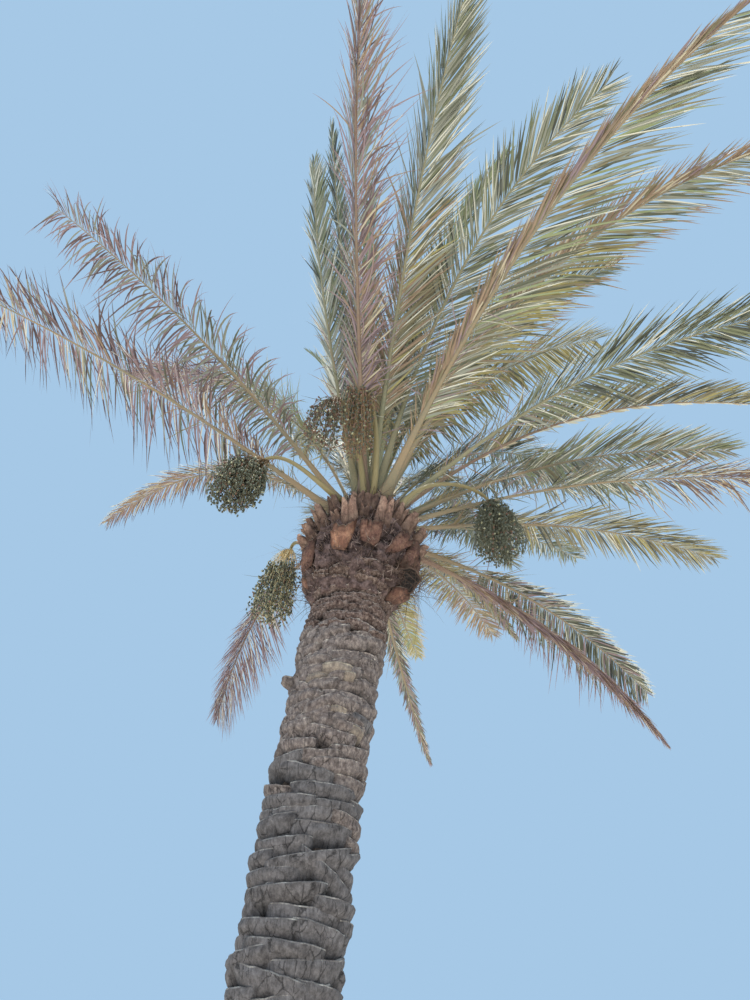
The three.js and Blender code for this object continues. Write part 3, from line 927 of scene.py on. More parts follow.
            weights = np.cumsum([weight for _, weight in tones])
            dealt = np.searchsorted(weights / weights[-1], draw.random(count)) if len(tones) else None
            for number, (tone, _) in enumerate(tones):
                mine = there & (dealt == number)
                if not mine.any():
                    continue
                given = [row[mine] for row in (root, heading, face, length, width, bend, twist)]
                # A glint is painted on one half of the fold only; the other half takes the first tone
                if tone is Tone.GLINT:
                    for half, shown in zip(self.halves, (Tone.GLINT, tones[0][0])):
                        heaps[shown].add(half, self.curve(half, *given))
                else:
                    heaps[tone].add(self.blade, self.curve(self.blade, *given))
                heaps[dress.ends or tone].add(self.end, self.curve(self.end, *given))

    def spines(self, frond: Frond) -> Array:
        """Stiff spines on the bare stalk, which pass into the first leaflets.

        Args:
            frond: The frond.

        Returns:
            The spines' corners.
        """
        draw, first = self.random, self.spiny_from
        count = int((self.leafy_from - first) * frond.length / self.spine_spacing)
        parts = []
        for hand in (-1, 1):
            t = first + (self.leafy_from - first) * (np.arange(count) + draw.random(count)) / count
            along, side, up = frond.axes(t)
            root = frond.points(t) + side * (hand * self.SPINE_ROOT * self.half_width(t))[:, None]
            angle = np.radians(draw.normal(*self.spine_angle, count))[:, None]
            raised = np.radians(draw.normal(*self.spine_rise, count))[:, None]
            outward = hand * side * np.cos(raised) + up * np.sin(raised)
            heading = along * np.cos(angle) + outward * np.sin(angle)
            length = np.interp(t, (first, self.leafy_from), self.spine_length)
            length = length * draw.uniform(*self.SPINE_SPREAD, count)
            x, y, s = self.spine.points.T[:, None, :, None]
            across = unit(np.cross(heading, up))[:, None]
            over = np.cross(heading[:, None], across)
            thin = self.spine_radius * (1 - self.SPINE_TAPER * s)
            parts.append(root[:, None] + heading[:, None] * length[:, None, None] * s
                         + thin * (x * across + y * over))
        return np.concatenate(parts)

    def build(self) -> None:
        """Makes the stalks, one piece for each age, the spines and the leaflets, one piece for each tone."""
        heaps = {tone: Heap() for tone in Tone}
        spines = Heap()
        for frond in self.fronds:
            for hand, dress in ((-1, frond.left or frond.dress), (1, frond.dress)):
                first = self.leafy_from + dress.bare * (1 - self.leafy_from)
                self.leaflets(frond, hand, dress, (first, 1.0), heaps)
                self.leaflets(frond, hand, STRAY, self.stray, heaps)
            if frond.name != "spear":
                spines.add(self.spine, self.spines(frond))
        for age in Age:
            stalks, nodes = Heap(), []
            for frond in (f for f in self.fronds if f.age is age):
                stalks.add(self.rod, self.stalk(frond))
                nodes += frond.nodes()
            stalks.build(f"stalks_{age.name.lower()}", age.value, "frond_rib", nodes)
        # Hard straw-coloured points with a slight shine
        spines.build("stalk_spines", Finish("palm_spine", "#B9A679", 0.5), "frond_rib")
        for tone, heap in heaps.items():
            heap.build(f"leaflets_{tone.name.lower()}", tone.finish, tone.slot)


@dataclass(frozen=True)
class Ripple:
    """A random smooth line for each copy of a shape, so that parts that meet along an edge agree there.

    Attributes:
        weights: Height of each wave, as copies and waves.
        phases: Start of each wave in radians.
    """

    weights: Array
    phases: Array

    @classmethod
    def draw(cls, random: np.random.Generator, copies: int, waves: int = 6) -> "Ripple":
        """Draws the waves of a number of copies."""
        return cls(random.normal(0, 1 / math.sqrt(waves), (copies, waves)),
                   random.uniform(0, 2 * math.pi, (copies, waves)))

    def at(self, place: Array) -> Array:
        """Heights of about one at places from -1 to 1, as copies and places."""
        waves = 2.1 * np.arange(1, self.weights.shape[1] + 1)[None, :, None]
        return (self.weights[..., None] * np.sin(waves * place[:, None] + self.phases[..., None])).sum(axis=1)


@dataclass(frozen=True)
class Bumps:
    """A random smooth roughness in space, so that surfaces that meet agree there.

    Attributes:
        waves: Wave vectors in radians per metre.
        phases: Start of each wave in radians.
    """

    waves: Array
    phases: Array

    @classmethod
    def draw(cls, seed: int, size: float, count: int = 28) -> "Bumps":
        """Draws waves that make bumps of about a size."""
        random = np.random.default_rng(seed)
        pitch = math.pi / size * random.uniform(0.5, 1.6, (count, 1))
        return cls(unit(random.normal(0, 1, (count, 3))) * pitch, random.uniform(0, 2 * math.pi, count))

    def at(self, points: Array) -> Array:
        """Heights of about one at points."""
        return np.sin(points @ self.waves.T + self.phases).sum(axis=-1) * math.sqrt(2 / len(self.phases))


@dataclass
class LeafBases:
    """Cut leaf bases: each a bulging face under a rim, bent round the trunk.

    Attributes:
        azimuth: Where each stands.
        level: Height of each lower end.
        width: Widths.
        height: Heights of the faces.
        ledge: How far the rims stand out.
        radius: Radius of the surface they stand on, at a height.
        random: The generator of their roughness.
        shade: A share by which each one is darker.
        foot: Width at the lower end as a share of the width.
        arch: How far the rim's ends lie below its middle, as a share of the height, less than 0 for above.
        jag: Roughness of the rim as a share of the height.
        bulge: How round the face is, 1 for flat.
        worn: Share of the ledge that is lost at the very top.
        sink: How far lower end and sides lie inside the surface.
        lip: Height of the pale upper edge.
        dent: Roughness of the face.
        tilt: Turn of the rims at random, in radians.
        turn: How far each one leans aside, in radians.
        light: Painted light of the face at its foot, below and above its middle and at its top, from 0 for
            full painted shade to 1.
    """

    azimuth: Array
    level: Array
    width: Array
    height: Array
    ledge: Array
    radius: Callable[[Array], Array]
    random: np.random.Generator
    shade: Array
    foot: float = 0.4
    arch: float = -0.12
    jag: float = 0.02
    bulge: float = 1.4
    worn: float = 0.08
    sink: float = 0.012
    lip: float = 0.007
    dent: float = 0.0035
    tilt: float = 0.2
    turn: Array | float = 0.0
    light: tuple[float, float, float, float] = (0.0, 0.5, 1.0, 1.0)

    ACROSS = 14
    UP = 7
    # Seed and size of the bumps
    ROUGHNESS = (17, 0.035)
    # Rows of the rim, and how far each is raised to the lip and drawn in
    RIM_ROWS = (0, 0.5, 1)
    RAISED = (0, 1, 1)
    DRAWN_IN = (0, 0.06, 1)
    # Least and greatest factor of the arch
    ARCH_SPREAD = (0.3, 1.7)
    # Shares of the face's height at which its light is given
    LIGHT_AT = (0, 0.38, 0.62, 1)
    # Nothing lies lower than this over the ground
    LOWEST = 0.002
    # How much the swell and the light lose at the sides, and how suddenly
    SIDE_SWELL, SIDE_SWELL_POWER = 0.85, 8
    SIDE_LIGHT, SIDE_LIGHT_POWER = 0.7, 6

    def __post_init__(self) -> None:
        """Draws how rough each one is."""
        count = len(self.azimuth)
        self.jags = Ripple.draw(self.random, count)
        self.bumps = Bumps.draw(*self.ROUGHNESS)
        self.tilts = self.random.normal(0, self.tilt, (count, 1))
        self.arches = self.arch * self.random.uniform(*self.ARCH_SPREAD, (count, 1))

    def bend(self, shape: Template) -> tuple[Array, Array]:
        """Bends the face or the rim into place.

        Args:
            shape: The face or the rim.

        Returns:
            Corners of all copies, and the painted light of each.
        """
        across, up, behind = shape.points.T[:, None]
        start, width, height, ledge = (
            values[:, None] for values in (self.level, self.width, self.height, self.ledge))
        turn = np.broadcast_to(np.atleast_1d(self.turn)[:, None], (len(self.level), 1))
        top = 1 - self.arches * across ** 2 + self.jag * self.jags.at(2 * across)
        level = start + height * up * top * np.cos(turn) + self.tilts * across * width / 2
        level = level + np.sin(turn) * across * width / 2 * up
        level = np.maximum(level + self.lip * np.interp(behind, self.RIM_ROWS, self.RAISED), self.LOWEST)
        swell = 1 - np.clip(1 - up, 0, 1) ** self.bulge - self.worn * np.clip(4 * up - 3, 0, 1) ** 2
        swell = swell * (1 - self.SIDE_SWELL * np.abs(across) ** self.SIDE_SWELL_POWER)
        swell = swell * (1 - np.interp(behind, self.RIM_ROWS, self.DRAWN_IN))
        surface = self.radius(level)
        out = surface - self.sink + (ledge + self.sink) * swell
        share = self.foot + (1 - self.foot) * np.sqrt(1 - (1 - up) ** 2)
        aside = across * share * width / 2 - np.sin(turn) * height * up
        angle = np.radians(self.azimuth)[:, None] + aside / surface
        points = np.stack([lean(level) + out * np.cos(angle), out * np.sin(angle), level], axis=-1)
        rough = self.dent * self.bumps.at(points) * (1 - behind)
        points = points + rough[..., None] * np.stack([np.cos(angle), np.sin(angle), 0 * angle], axis=-1)
        # Painted light: painted shade low on the face, where the rim below shades it, and at its sides
        lighting = np.interp(up, self.LIGHT_AT, self.light)
        lighting = lighting * (1 - self.SIDE_LIGHT * np.abs(across) ** self.SIDE_LIGHT_POWER)
        lighting = lighting * self.shade[:, None]
        return points, np.broadcast_to(lighting, out.shape)

    def add(self, faces: Heap, rims: Heap) -> None:
        """Adds the faces to one heap and the rims to another."""
        face = Template.strip(self.ACROSS, self.UP, pointed=False)
        rim = Template.rim(self.ACROSS)
        faces.add(face, *self.bend(face))
        rims.add(rim, *self.bend(rim))


@dataclass
class Boots:
    """Cut leaf stalks that stand free of the head: each a hollow shell that is split at its end.

    Attributes:
        rows: Azimuth, height of the foot, width, length, lean outwards, turn aside and shade of each.
        radius: Radius of the surface they stand on, at a height.
        seed: Start of the random draws.
        thick: Thickness at the foot.
        taper: Share of the width that is lost at the end.
        notch: Depth of the split, as a share of the length.
        jag: Roughness of the end as a share of the length.
        cup: How far the sides are bent back, as a share of half the width.
        groove: Depth of the groove below the split.
        dent: Roughness of the faces.
    """

    rows: Rows
    radius: Callable[[Array], Array]
    seed: int
    thick: float = 0.034
    taper: float = 0.3
    notch: float = 0.3
    jag: float = 0.06
    cup: float = 0.5
    groove: float = 0.012
    dent: float = 0.004

    ACROSS = 10
    ALONG = 7
    # Seed and size of the bumps
    ROUGHNESS = (19, 0.03)
    # Least and greatest factor of the split's depth
    NOTCH_SPREAD = (0.3, 1.3)
    # Half width of the groove and of the shade in it, as shares of half the boot's width
    GROOVE_WIDTH = 0.2
    SHADE_WIDTH = 0.15
    # Share of the length past which the shell has its cut end's light
    END = 0.99
    # How much thinner the shell is at its end
    THINNING = 0.4
    # Painted light: how light the foot is and how fast that grows, and how much the back and the groove lose
    # to painted shade
    FOOT_LIGHT, LIGHT_RATE = 0.15, 1.1
    LOSS = 0.6

    def bend(self, shape: Template) -> tuple[Array, Array]:
        """Bends the shell or its cut end into place.

        Args:
            shape: The slab or the end.

        Returns:
            Corners of all copies, and the painted light of each.
        """
        draw = np.random.default_rng(self.seed)
        azimuth, level, width, length, tilt, turn, shade = np.array(self.rows).T
        count = len(azimuth)
        jags, split = Ripple.draw(draw, count), draw.uniform(*self.NOTCH_SPREAD, (count, 1)) * self.notch
        outward, upward = bearing(azimuth), np.array([0.0, 0.0, 1.0])
        tilt, turn = np.radians(tilt)[:, None], np.radians(turn)[:, None]
        beside = bearing(azimuth + 90)
        ahead = np.cos(tilt) * (upward * np.cos(turn) - beside * np.sin(turn)) + np.sin(tilt) * outward
        normal = unit(outward * np.cos(tilt) - upward * np.sin(tilt))
        beside = unit(np.cross(ahead, normal))
        foot = outward * self.radius(level)[:, None]
        foot[:, 0] += lean(level)
        foot[:, 2] = level
        across, up, behind = shape.points.T[:, None]
        end = 1 - split * (1 - np.abs(across)) ** 2 + self.jag * jags.at(2 * across)
        s = up * end
        half = width[:, None] / 2 * (1 - self.taper * s)
        depth = -behind * self.thick * (1 - self.THINNING * s) - self.cup * across ** 2 * half
        depth = depth - self.groove * np.exp(-(across / self.GROOVE_WIDTH) ** 2) * s * (1 - behind)
        points = foot[:, None] + (length[:, None] * s)[..., None] * ahead[:, None]
        points = points + (across * half)[..., None] * beside[:, None] + depth[..., None] * normal[:, None]
        rough = self.dent * Bumps.draw(*self.ROUGHNESS).at(points)
        # Painted light: painted shade at the foot, on the back of the shell and in the groove; the cut end is
        # lighter
        lighting = np.clip(self.FOOT_LIGHT + self.LIGHT_RATE * s, 0, 1)
        lighting = lighting * (1 - self.LOSS * behind * (up < self.END))
        lighting = lighting * (1 - self.LOSS * np.exp(-(across / self.SHADE_WIDTH) ** 2) * (1 - behind))
        lighting = lighting * np.where(up < self.END, shade[:, None], 0.5 + 0.5 * shade[:, None])
        return points + rough[..., None] * normal[:, None], np.broadcast_to(lighting, s.shape)

    def add(self, shells: Heap, ends: Heap) -> None:
        """Adds the shells to one heap and their cut ends to another."""
        slab, end = Template.slab(self.ACROSS, self.ALONG), Template.rim(self.ACROSS)
        shells.add(slab, *self.bend(slab))
        ends.add(end, *self.bend(end))


class Wood(Enum):
    """The dry woods and fibres of the trunk and the head."""

    # Felted leaf-sheath fibre between leaf bases: dull, softly blotched, and dark brown partly as painted
    # shade
    CORE = WeatheredWood("dark_palm_fibre", "#4A3D35", 0.95, 0.2, dark="#292220", pale="#66564A", patch=0.05)
    # Leaf bases that have stood in the weather for decades: grey and cracked, with painted shade that makes
    # the gaps black
    LOWER = WeatheredWood("weathered_palm_wood", "#6C6665", 0.9, 0.25, dark="#4B4646", pale="#8E8786",
                          patch=0.04, crack=0.07, gap=0.2)
    # Younger ones: browner and paler, with closer cracks
    UPPER = WeatheredWood("sun_dried_palm_wood", "#7B6E69", 0.9, 0.25, dark="#524642", pale="#B1A197",
                          patch=0.03, crack=0.05, gap=0.1)
    # Their cut rims: end grain that the sun has bleached in places, made paler still as a painted highlight
    # on the edges
    RIMS = WeatheredWood("sunlit_bleached_palm_wood", "#92877F", 0.9, 0.25, dark="#5C534E", pale="#EADCCB",
                         patch=0.09, gap=0.5, plain=0.5)
    # Narrow scars at the neck: red-brown, rough and finely cracked
    SCARS = WeatheredWood("neck_scar_wood", "#745F57", 0.95, 0.2, dark="#3C2D29", pale="#BBA497", patch=0.022,
                          crack=0.03, relief=0.01, gap=0.05)
    # Their edges: torn, with pale flecks that are painted highlights
    EDGES = WeatheredWood("neck_edge_wood", "#A08E83", 0.95, 0.2, dark="#58493F", pale="#FFEBD2", patch=0.03,
                          plain=0.5)
    # Faces and rims that the sun reaches through the crown: warm and pale
    SUNLIT = WeatheredWood("sunlit_palm_wood", "#8D7F74", 0.9, 0.25, dark="#6A5C54", pale="#B3A290",
                           patch=0.03, gap=0.1)
    CRESTS = WeatheredWood("sunlit_palm_edge", "#B7A28B", 0.9, 0.2, dark="#7F6C5D", pale="#E6D0B2",
                           patch=0.03, gap=0.4)
    # Matted fibre of the head: dull mauve-brown wool
    MATTED = WeatheredWood("matted_palm_fibre", "#6C5955", 1.0, 0.1, dark="#3F3331", pale="#8E7974",
                           patch=0.03, relief=0.01, gap=0.25)
    # Wood under a fresh cut: smooth and orange
    FRESH = WeatheredWood("fresh_cut_palm_wood", "#9E705B", 0.8, 0.3, dark="#6F4D40", pale="#CB9A79",
                          patch=0.04, fibre=0.006, relief=0.01, gap=0.2)
    # The same after a year or two: redder and darker
    OLDER = WeatheredWood("older_cut_palm_wood", "#7F5B4F", 0.85, 0.25, dark="#513B36", pale="#AA846F",
                          patch=0.035, fibre=0.006, relief=0.012, gap=0.2)
    # Stubs of leaf stalks: dry, fibrous and split
    BOOTS = WeatheredWood("dry_palm_stub", "#9E7C6C", 0.85, 0.3, dark="#6B5149", pale="#C8A690", patch=0.06,
                          crack=0.03, gap=0.15)
    # Their torn ends, paler where the fibres are open
    TORN = WeatheredWood("torn_palm_wood", "#A88C78", 0.9, 0.2, dark="#6A5346", pale="#DCC6AC", patch=0.05)
    # Fibre at the back of a hollow, almost black in its shade
    HOLLOW = WeatheredWood("shaded_hollow_fibre", "#403C3B", 0.95, 0.1, dark="#2A2726", pale="#55504D",
                           patch=0.02, relief=0.01)
    # The thin dry rim round it
    RIM = WeatheredWood("dry_palm_edge", "#5F4C43", 0.9, 0.2, dark="#44352F", pale="#80685A", patch=0.03)


@dataclass
class Trunk:
    """The trunk: a fibrous core, and old leaf bases that wind up it in spirals.

    Attributes:
        top: Height of the neck.
        radius_foot: Radius over the leaf bases above the flare.
        radius_top: Radius at the neck.
        flare: How much wider the foot is.
        flare_height: How fast the flare dies away.
        core_depth: How far the core lies behind the rims.
        overlap: How many times over the leaf bases cover the core.
        swelling: How much wider the trunk is under the neck.
        swelling_height: Where that is.
        seed: Start of the random draws.
        rows: Height, and width, height and ledge of the leaf bases there.
        bottom: Height of the lowest leaf bases, which the ground cuts.
        warm_from: Height about which the leaf bases turn warmer in colour.
        upper: Height from which they stand in rings rather than in spirals.
        neck: Height from which they are dark scars.
        last: Height of the last leaf bases, under the head.
        slant: How far the rings above the spirals rise to one side.
        ring_pitch: Distance between rings as a share of the height of their leaf bases.
    """

    top: float = 4.46
    radius_foot: float = 0.29
    radius_top: float = 0.274
    flare: float = 0.12
    flare_height: float = 0.21
    core_depth: float = 0.055
    overlap: float = 1.75
    swelling: float = 0.02
    swelling_height: float = 4.06
    seed: int = 5
    rows: tuple[tuple[float, float, float, float], ...] = (
        (0.0, 0.47, 0.135, 0.066),
        (3.0, 0.42, 0.13, 0.062),
        (3.3, 0.24, 0.115, 0.05),
        (3.75, 0.21, 0.12, 0.044),
        (4.0, 0.2, 0.1, 0.04),
        (4.2, 0.21, 0.085, 0.036),
        (4.45, 0.19, 0.065, 0.03),
        (4.6, 0.17, 0.055, 0.024),
    )
    bottom: float = -0.12
    warm_from: float = 3.02
    upper: float = 3.4
    neck: float = 4.0
    last: float = 4.47
    slant: float = 0.02
    ring_pitch: float = 0.52

    LEAN = 0.36
    LEAN_HEIGHT = 4.9
    # Half height of the swelling
    SWELLING_REACH = 0.18
    # Heights at which the core widens to the head, and its radius there
    CORE_HEIGHTS = (4.32, 4.43, 4.5)
    CORE_RADII = (0.225, 0.27, 0.32)
    # Faces round the core and along it, its reach above the neck and the height of its ripples
    CORE_SIDES, CORE_RINGS = 72, 120
    CORE_REACH = 0.02
    CORE_RIPPLE = 0.004
    # Ripples wind up it, at this many radians for each metre of height and each radian round it
    CORE_WAVES = (40, 3)
    # How much of a ring's circle its leaf bases fill, how far each is out of place, and its random slant
    RING_SHARE = 0.85
    RING_SHIFT = 0.15
    SLANT_SPREAD = (0.5, 1)
    # Random spread of the height about which colours turn warmer
    WARM_SPREAD = 0.3
    # Random turn and shift of leaf bases, and factors of their sizes and shade
    TURN = 3
    SHIFT = 0.006
    WIDTH_SPREAD = (0.84, 1.12)
    HEIGHT_SPREAD = (0.88, 1.1)
    LEDGE_SPREAD = (0.7, 1.2)
    SHADE_SPREAD = (0.82, 1)

    def radius(self, z: Array | float) -> Array | float:
        """Radius over the leaf bases at a height."""
        straight = self.radius_foot + (self.radius_top - self.radius_foot) * z / self.top
        wider = self.swelling * np.exp(-((z - self.swelling_height) / self.SWELLING_REACH) ** 2)
        return straight + self.flare * np.exp(-z / self.flare_height) + wider

    def core_radius(self, z: Array | float) -> Array | float:
        """Radius of the core at a height, which widens under the head."""
        return np.maximum(self.radius(z) - self.core_depth, np.interp(z, self.CORE_HEIGHTS, self.CORE_RADII))

    def core(self) -> None:
        """Makes the fibrous core that shows between the leaf bases."""
        shape = Template.rod(self.CORE_SIDES, self.CORE_RINGS)
        x, y, share = shape.points.T
        z = share * (self.top + self.CORE_REACH)
        ripple = self.CORE_RIPPLE * np.sin(self.CORE_WAVES[0] * z + self.CORE_WAVES[1] * np.arctan2(y, x))
        radius = self.core_radius(z) + ripple - self.CORE_RIPPLE
        heap = Heap()
        heap.add(shape, np.stack([lean(z) + x * radius, y * radius, z], axis=-1)[None])
        heap.build("trunk_core", Wood.CORE.value, "fibre", ["trunk"])

    def size_at(self, level: float) -> tuple[float, float, float]:
        """Width, height and ledge of the leaf bases at a height."""
        heights, *sizes = np.array(self.rows).T
        width, height, ledge = (float(np.interp(level, heights, row)) for row in sizes)
        return width, height, ledge

    def spiral(self, bottom: float, top: float) -> list[tuple[float, ...]]:
        """Places from the foot up, each turned by the golden angle from the one below it.

        Args:
            bottom: Lowest height.
            top: Highest height.

        Returns:
            Azimuth, height, and width, height and ledge of each leaf base.
        """
        level, places = bottom, []
        while level < top:
            width, height, ledge = self.size_at(level)
            places.append((math.degrees(GOLDEN_ANGLE) * len(places), level, width, height, ledge))
            level += width * height / self.overlap / (2 * math.pi * self.radius_foot)
        return places

    def ringed(self, bottom: float, top: float) -> list[tuple[float, ...]]:
        """Places in rings one above another, each ring a little aslant.

        Args:
            bottom: Lowest height.
            top: Highest height.

        Returns:
            Azimuth, height, and width, height and ledge of each leaf base.
        """
        draw = np.random.default_rng(self.seed + 2)
        level, places = bottom, []
        while level < top:
            width, height, ledge = self.size_at(level)
            count = round(2 * math.pi * self.radius_foot / width / self.RING_SHARE)
            shift = draw.uniform(-self.RING_SHIFT, self.RING_SHIFT, count)
            azimuth = 360 / count * (np.arange(count) + shift) + draw.uniform(0, 360)
            slant = self.slant * draw.uniform(*self.SLANT_SPREAD)
            rises = slant * np.cos(np.radians(azimuth) - draw.uniform(0, 2 * math.pi))
            places += [(turn, level + rise, width, height, ledge) for turn, rise in zip(azimuth, rises)]
            level += self.ring_pitch * height
        return places

    def bases(self, places: list[tuple[float, ...]], **shape) -> LeafBases:
        """The leaf bases at some places, with their sizes drawn at random about the given ones.

        Args:
            places: Azimuth, height, and width, height and ledge of each.
            **shape: Their shape, where it isn't the usual one.

        Returns:
            The leaf bases.
        """
        draw = np.random.default_rng(self.seed)
        azimuth, level, width, height, ledge = np.array(places).T
        count = len(places)
        return LeafBases(
            azimuth + draw.normal(0, self.TURN, count), level + draw.normal(0, self.SHIFT, count),
            width * draw.uniform(*self.WIDTH_SPREAD, count),
            height * draw.uniform(*self.HEIGHT_SPREAD, count),
            ledge * draw.uniform(*self.LEDGE_SPREAD, count), self.core_radius, draw,
            draw.uniform(*self.SHADE_SPREAD, count), **shape)

    def stubs(self) -> LeafBases:
        """Leaf bases that stand out further than the others below the neck."""
        return self.bases([
            (192, 3.69, 0.1, 0.1, 0.12), (250, 3.74, 0.17, 0.1, 0.06), (120, 3.7, 0.14, 0.12, 0.1),
            (60, 3.45, 0.16, 0.11, 0.07)], foot=0.7, arch=0.1, lip=0.01)

    def sunlit(self) -> LeafBases:
        """Leaf bases that catch the sun through a gap in the crown."""
        return self.bases([
            (277, 3.68, 0.18, 0.1, 0.066), (252, 3.66, 0.15, 0.08, 0.055), (293, 3.67, 0.07, 0.07, 0.06),
            (286, 3.44, 0.1, 0.08, 0.058), (313, 3.32, 0.09, 0.11, 0.06)],
            foot=0.75, arch=0.1, lip=0.01, tilt=0.1)

    def build(self) -> None:
        """Makes the trunk's core and leaf bases."""
        self.core()
        lower, rims, upper, edges, scars, sunlit, crests = (Heap() for _ in range(7))
        spiral, draw = self.spiral(self.bottom, self.upper), np.random.default_rng(self.seed + 3)
        levels = np.array([place[1] for place in spiral])
        warm = levels + draw.normal(0, self.WARM_SPREAD, len(spiral)) > self.warm_from
        for turned, heaps in ((False, (lower, rims)), (True, (upper, edges))):
            self.bases([place for place, is_warm in zip(spiral, warm) if is_warm == turned]).add(*heaps)
        self.bases(self.ringed(self.upper, self.neck), jag=0.04, arch=0.05, bulge=1.7, worn=0.1,
                   dent=0.004).add(upper, edges)
        self.stubs().add(upper, edges)
        # The neck's scars: painted shade over their lower half, lighter towards the top
        self.bases(self.ringed(self.neck, self.last), jag=0.07, arch=0.12, bulge=1.3, worn=0.05, lip=0.005,
                   tilt=0.12, light=(0.0, 0.0, 0.7, 1.0)).add(scars, edges)
        self.sunlit().add(sunlit, crests)
        for name, heap, wood in (
                ("trunk_leaf_bases", lower, Wood.LOWER), ("upper_leaf_bases", upper, Wood.UPPER),
                ("trunk_cut_rims", rims, Wood.RIMS), ("neck_scars", scars, Wood.SCARS),
                ("neck_edges", edges, Wood.EDGES), ("sunlit_leaf_bases", sunlit, Wood.SUNLIT),
                ("sunlit_cut_rims", crests, Wood.CRESTS)):
            heap.build(name, wood.value, "bark", ["trunk"])


@dataclass(frozen=True)
class Fibres:
    """How thin strips of fibre leave the head.

    Attributes:
        outward: How much they head away from the head.
        stray: How much they head anywhere.
        upward: How much they head up.
        bend_in: How far their ends bend back to the head, as a share of the length.
        bend_down: How far their ends hang down.
        disorder: Random bend of the ends.
        length: Least and greatest length.
        half: Half their width.
    """

    outward: float
    stray: float
    upward: float
    bend_in: float
    bend_down: float
    disorder: float
    length: tuple[float, float]
    half: float


MATTED = Fibres(0.35, 0.8, 1.0, 0.35, 0.0, 0.25, (0.03, 0.11), 0.0024)
LOOSE = Fibres(1.0, 0.6, 0.5, 0.0, 0.6, 0.35, (0.06, 0.24), 0.0018)


@dataclass
class Head:
    """The swollen head: matted fibre, and leaf bases that were cut back not long ago.

    Attributes:
        rings: Radius and height of the fibre's outline.
        fresh: Azimuth, lower end, width, height, ledge, turn aside and shade of the fresh cuts.
        older: The same of the older, redder cuts.
        boots: Azimuth, foot, width, length, lean outwards, turn aside and shade of the dry boots seen first.
        plain: The same of those further round.
        seed: Start of the random draws.
        hairs: Number of loose fibres that stick out.
        mats: Number of fibres of each colour that lie on the surface.
        hollow: Middle of the hollow of a fallen leaf base.
        facing: Direction in which the hollow opens.
        fringe: Radius of the fibres round it.
        fringes: Number of those.
    """

    rings: tuple[tuple[float, float], ...] = (
        (0.25, 4.34), (0.3, 4.42), (0.345, 4.5), (0.375, 4.62), (0.378, 4.76), (0.352, 4.92), (0.3, 5.07),
        (0.2, 5.21), (0.0, 5.27))
    fresh: Rows = (
        (252, 4.565, 0.165, 0.17, 0.04, 0, 1.0), (33, 4.58, 0.17, 0.16, 0.04, 5, 0.8),
        (87, 4.57, 0.17, 0.17, 0.04, 0, 0.9), (168, 4.60, 0.15, 0.17, 0.04, 15, 0.85))
    older: Rows = (
        (209, 4.53, 0.2, 0.18, 0.04, 12, 0.9), (281, 4.61, 0.155, 0.16, 0.045, 4, 1.0),
        (304, 4.59, 0.12, 0.2, 0.045, -36, 0.9), (327, 4.54, 0.16, 0.25, 0.04, -42, 1.0),
        (198, 4.43, 0.06, 0.05, 0.03, 0, 1.0), (344, 4.362, 0.17, 0.055, 0.09, 0, 1.0),
        (8, 4.62, 0.15, 0.16, 0.04, -10, 0.7), (58, 4.60, 0.15, 0.18, 0.04, -15, 0.8),
        (114, 4.60, 0.14, 0.17, 0.04, 20, 0.8), (140, 4.56, 0.17, 0.16, 0.04, -6, 0.9))
    boots: Rows = (
        (186, 4.79, 0.1, 0.14, 48, 10, 0.9), (197, 4.86, 0.1, 0.16, 30, 8, 0.6),
        (203, 4.78, 0.11, 0.15, 34, 12, 0.8), (212, 4.9, 0.1, 0.17, 26, 14, 0.5),
        (221, 4.82, 0.12, 0.2, 26, 10, 0.7), (233, 4.9, 0.1, 0.17, 20, 4, 0.4),
        (241, 4.8, 0.08, 0.11, 22, 6, 0.5), (257, 4.75, 0.13, 0.22, 20, 0, 1.0),
        (261, 4.89, 0.13, 0.19, 6, 0, 0.5),
        (270, 4.82, 0.08, 0.12, 16, -4, 0.35), (275, 4.88, 0.13, 0.17, 10, -3, 0.4),
        (291, 4.765, 0.135, 0.23, 20, -4, 1.0), (299, 4.89, 0.11, 0.17, 12, -6, 0.4),
        (308, 4.84, 0.11, 0.18, 22, -14, 0.6), (320, 4.77, 0.12, 0.2, 26, -12, 0.55),
        (331, 4.87, 0.11, 0.17, 24, -10, 0.5), (344, 4.78, 0.12, 0.18, 32, -8, 0.6),
        (352, 4.7, 0.12, 0.16, 42, -4, 0.65))
    plain: Rows = (
        (4, 4.85, 0.11, 0.17, 20, 4, 0.6), (14, 4.75, 0.12, 0.18, 30, -6, 0.8),
        (27, 4.87, 0.11, 0.17, 18, 2, 0.5), (40, 4.76, 0.12, 0.19, 26, 5, 0.9),
        (52, 4.86, 0.11, 0.16, 16, -5, 0.5), (66, 4.76, 0.12, 0.19, 28, 3, 0.7),
        (78, 4.87, 0.11, 0.17, 18, -2, 0.6), (92, 4.77, 0.12, 0.18, 26, 6, 1.0),
        (105, 4.86, 0.1, 0.17, 16, 0, 0.5), (118, 4.76, 0.12, 0.2, 26, -5, 0.8),
        (131, 4.87, 0.11, 0.16, 18, 4, 0.6), (144, 4.76, 0.12, 0.18, 28, -3, 0.9),
        (156, 4.86, 0.11, 0.17, 20, 5, 0.5), (170, 4.77, 0.12, 0.18, 30, 4, 0.7),
        (178, 4.88, 0.1, 0.16, 18, -3, 0.6))
    seed: int = 8
    hairs: int = 700
    mats: tuple[int, int, int] = (1200, 1000, 800)
    hollow: tuple[float, float, float] = (0.65, -0.155, 4.49)
    facing: tuple[float, float, float] = (0.12, -0.78, -0.6)
    fringe: float = 0.085
    fringes: int = 260

    # Faces round the ball of fibre and up it
    SIDES, RINGS = 160, 100
    # Seed, size and height of its coarse and fine bumps, which end at a height
    COARSE_BUMPS = (23, 0.05, 0.008)
    FINE_BUMPS = (29, 0.018, 0.004)
    BUMPS_END = 5.2
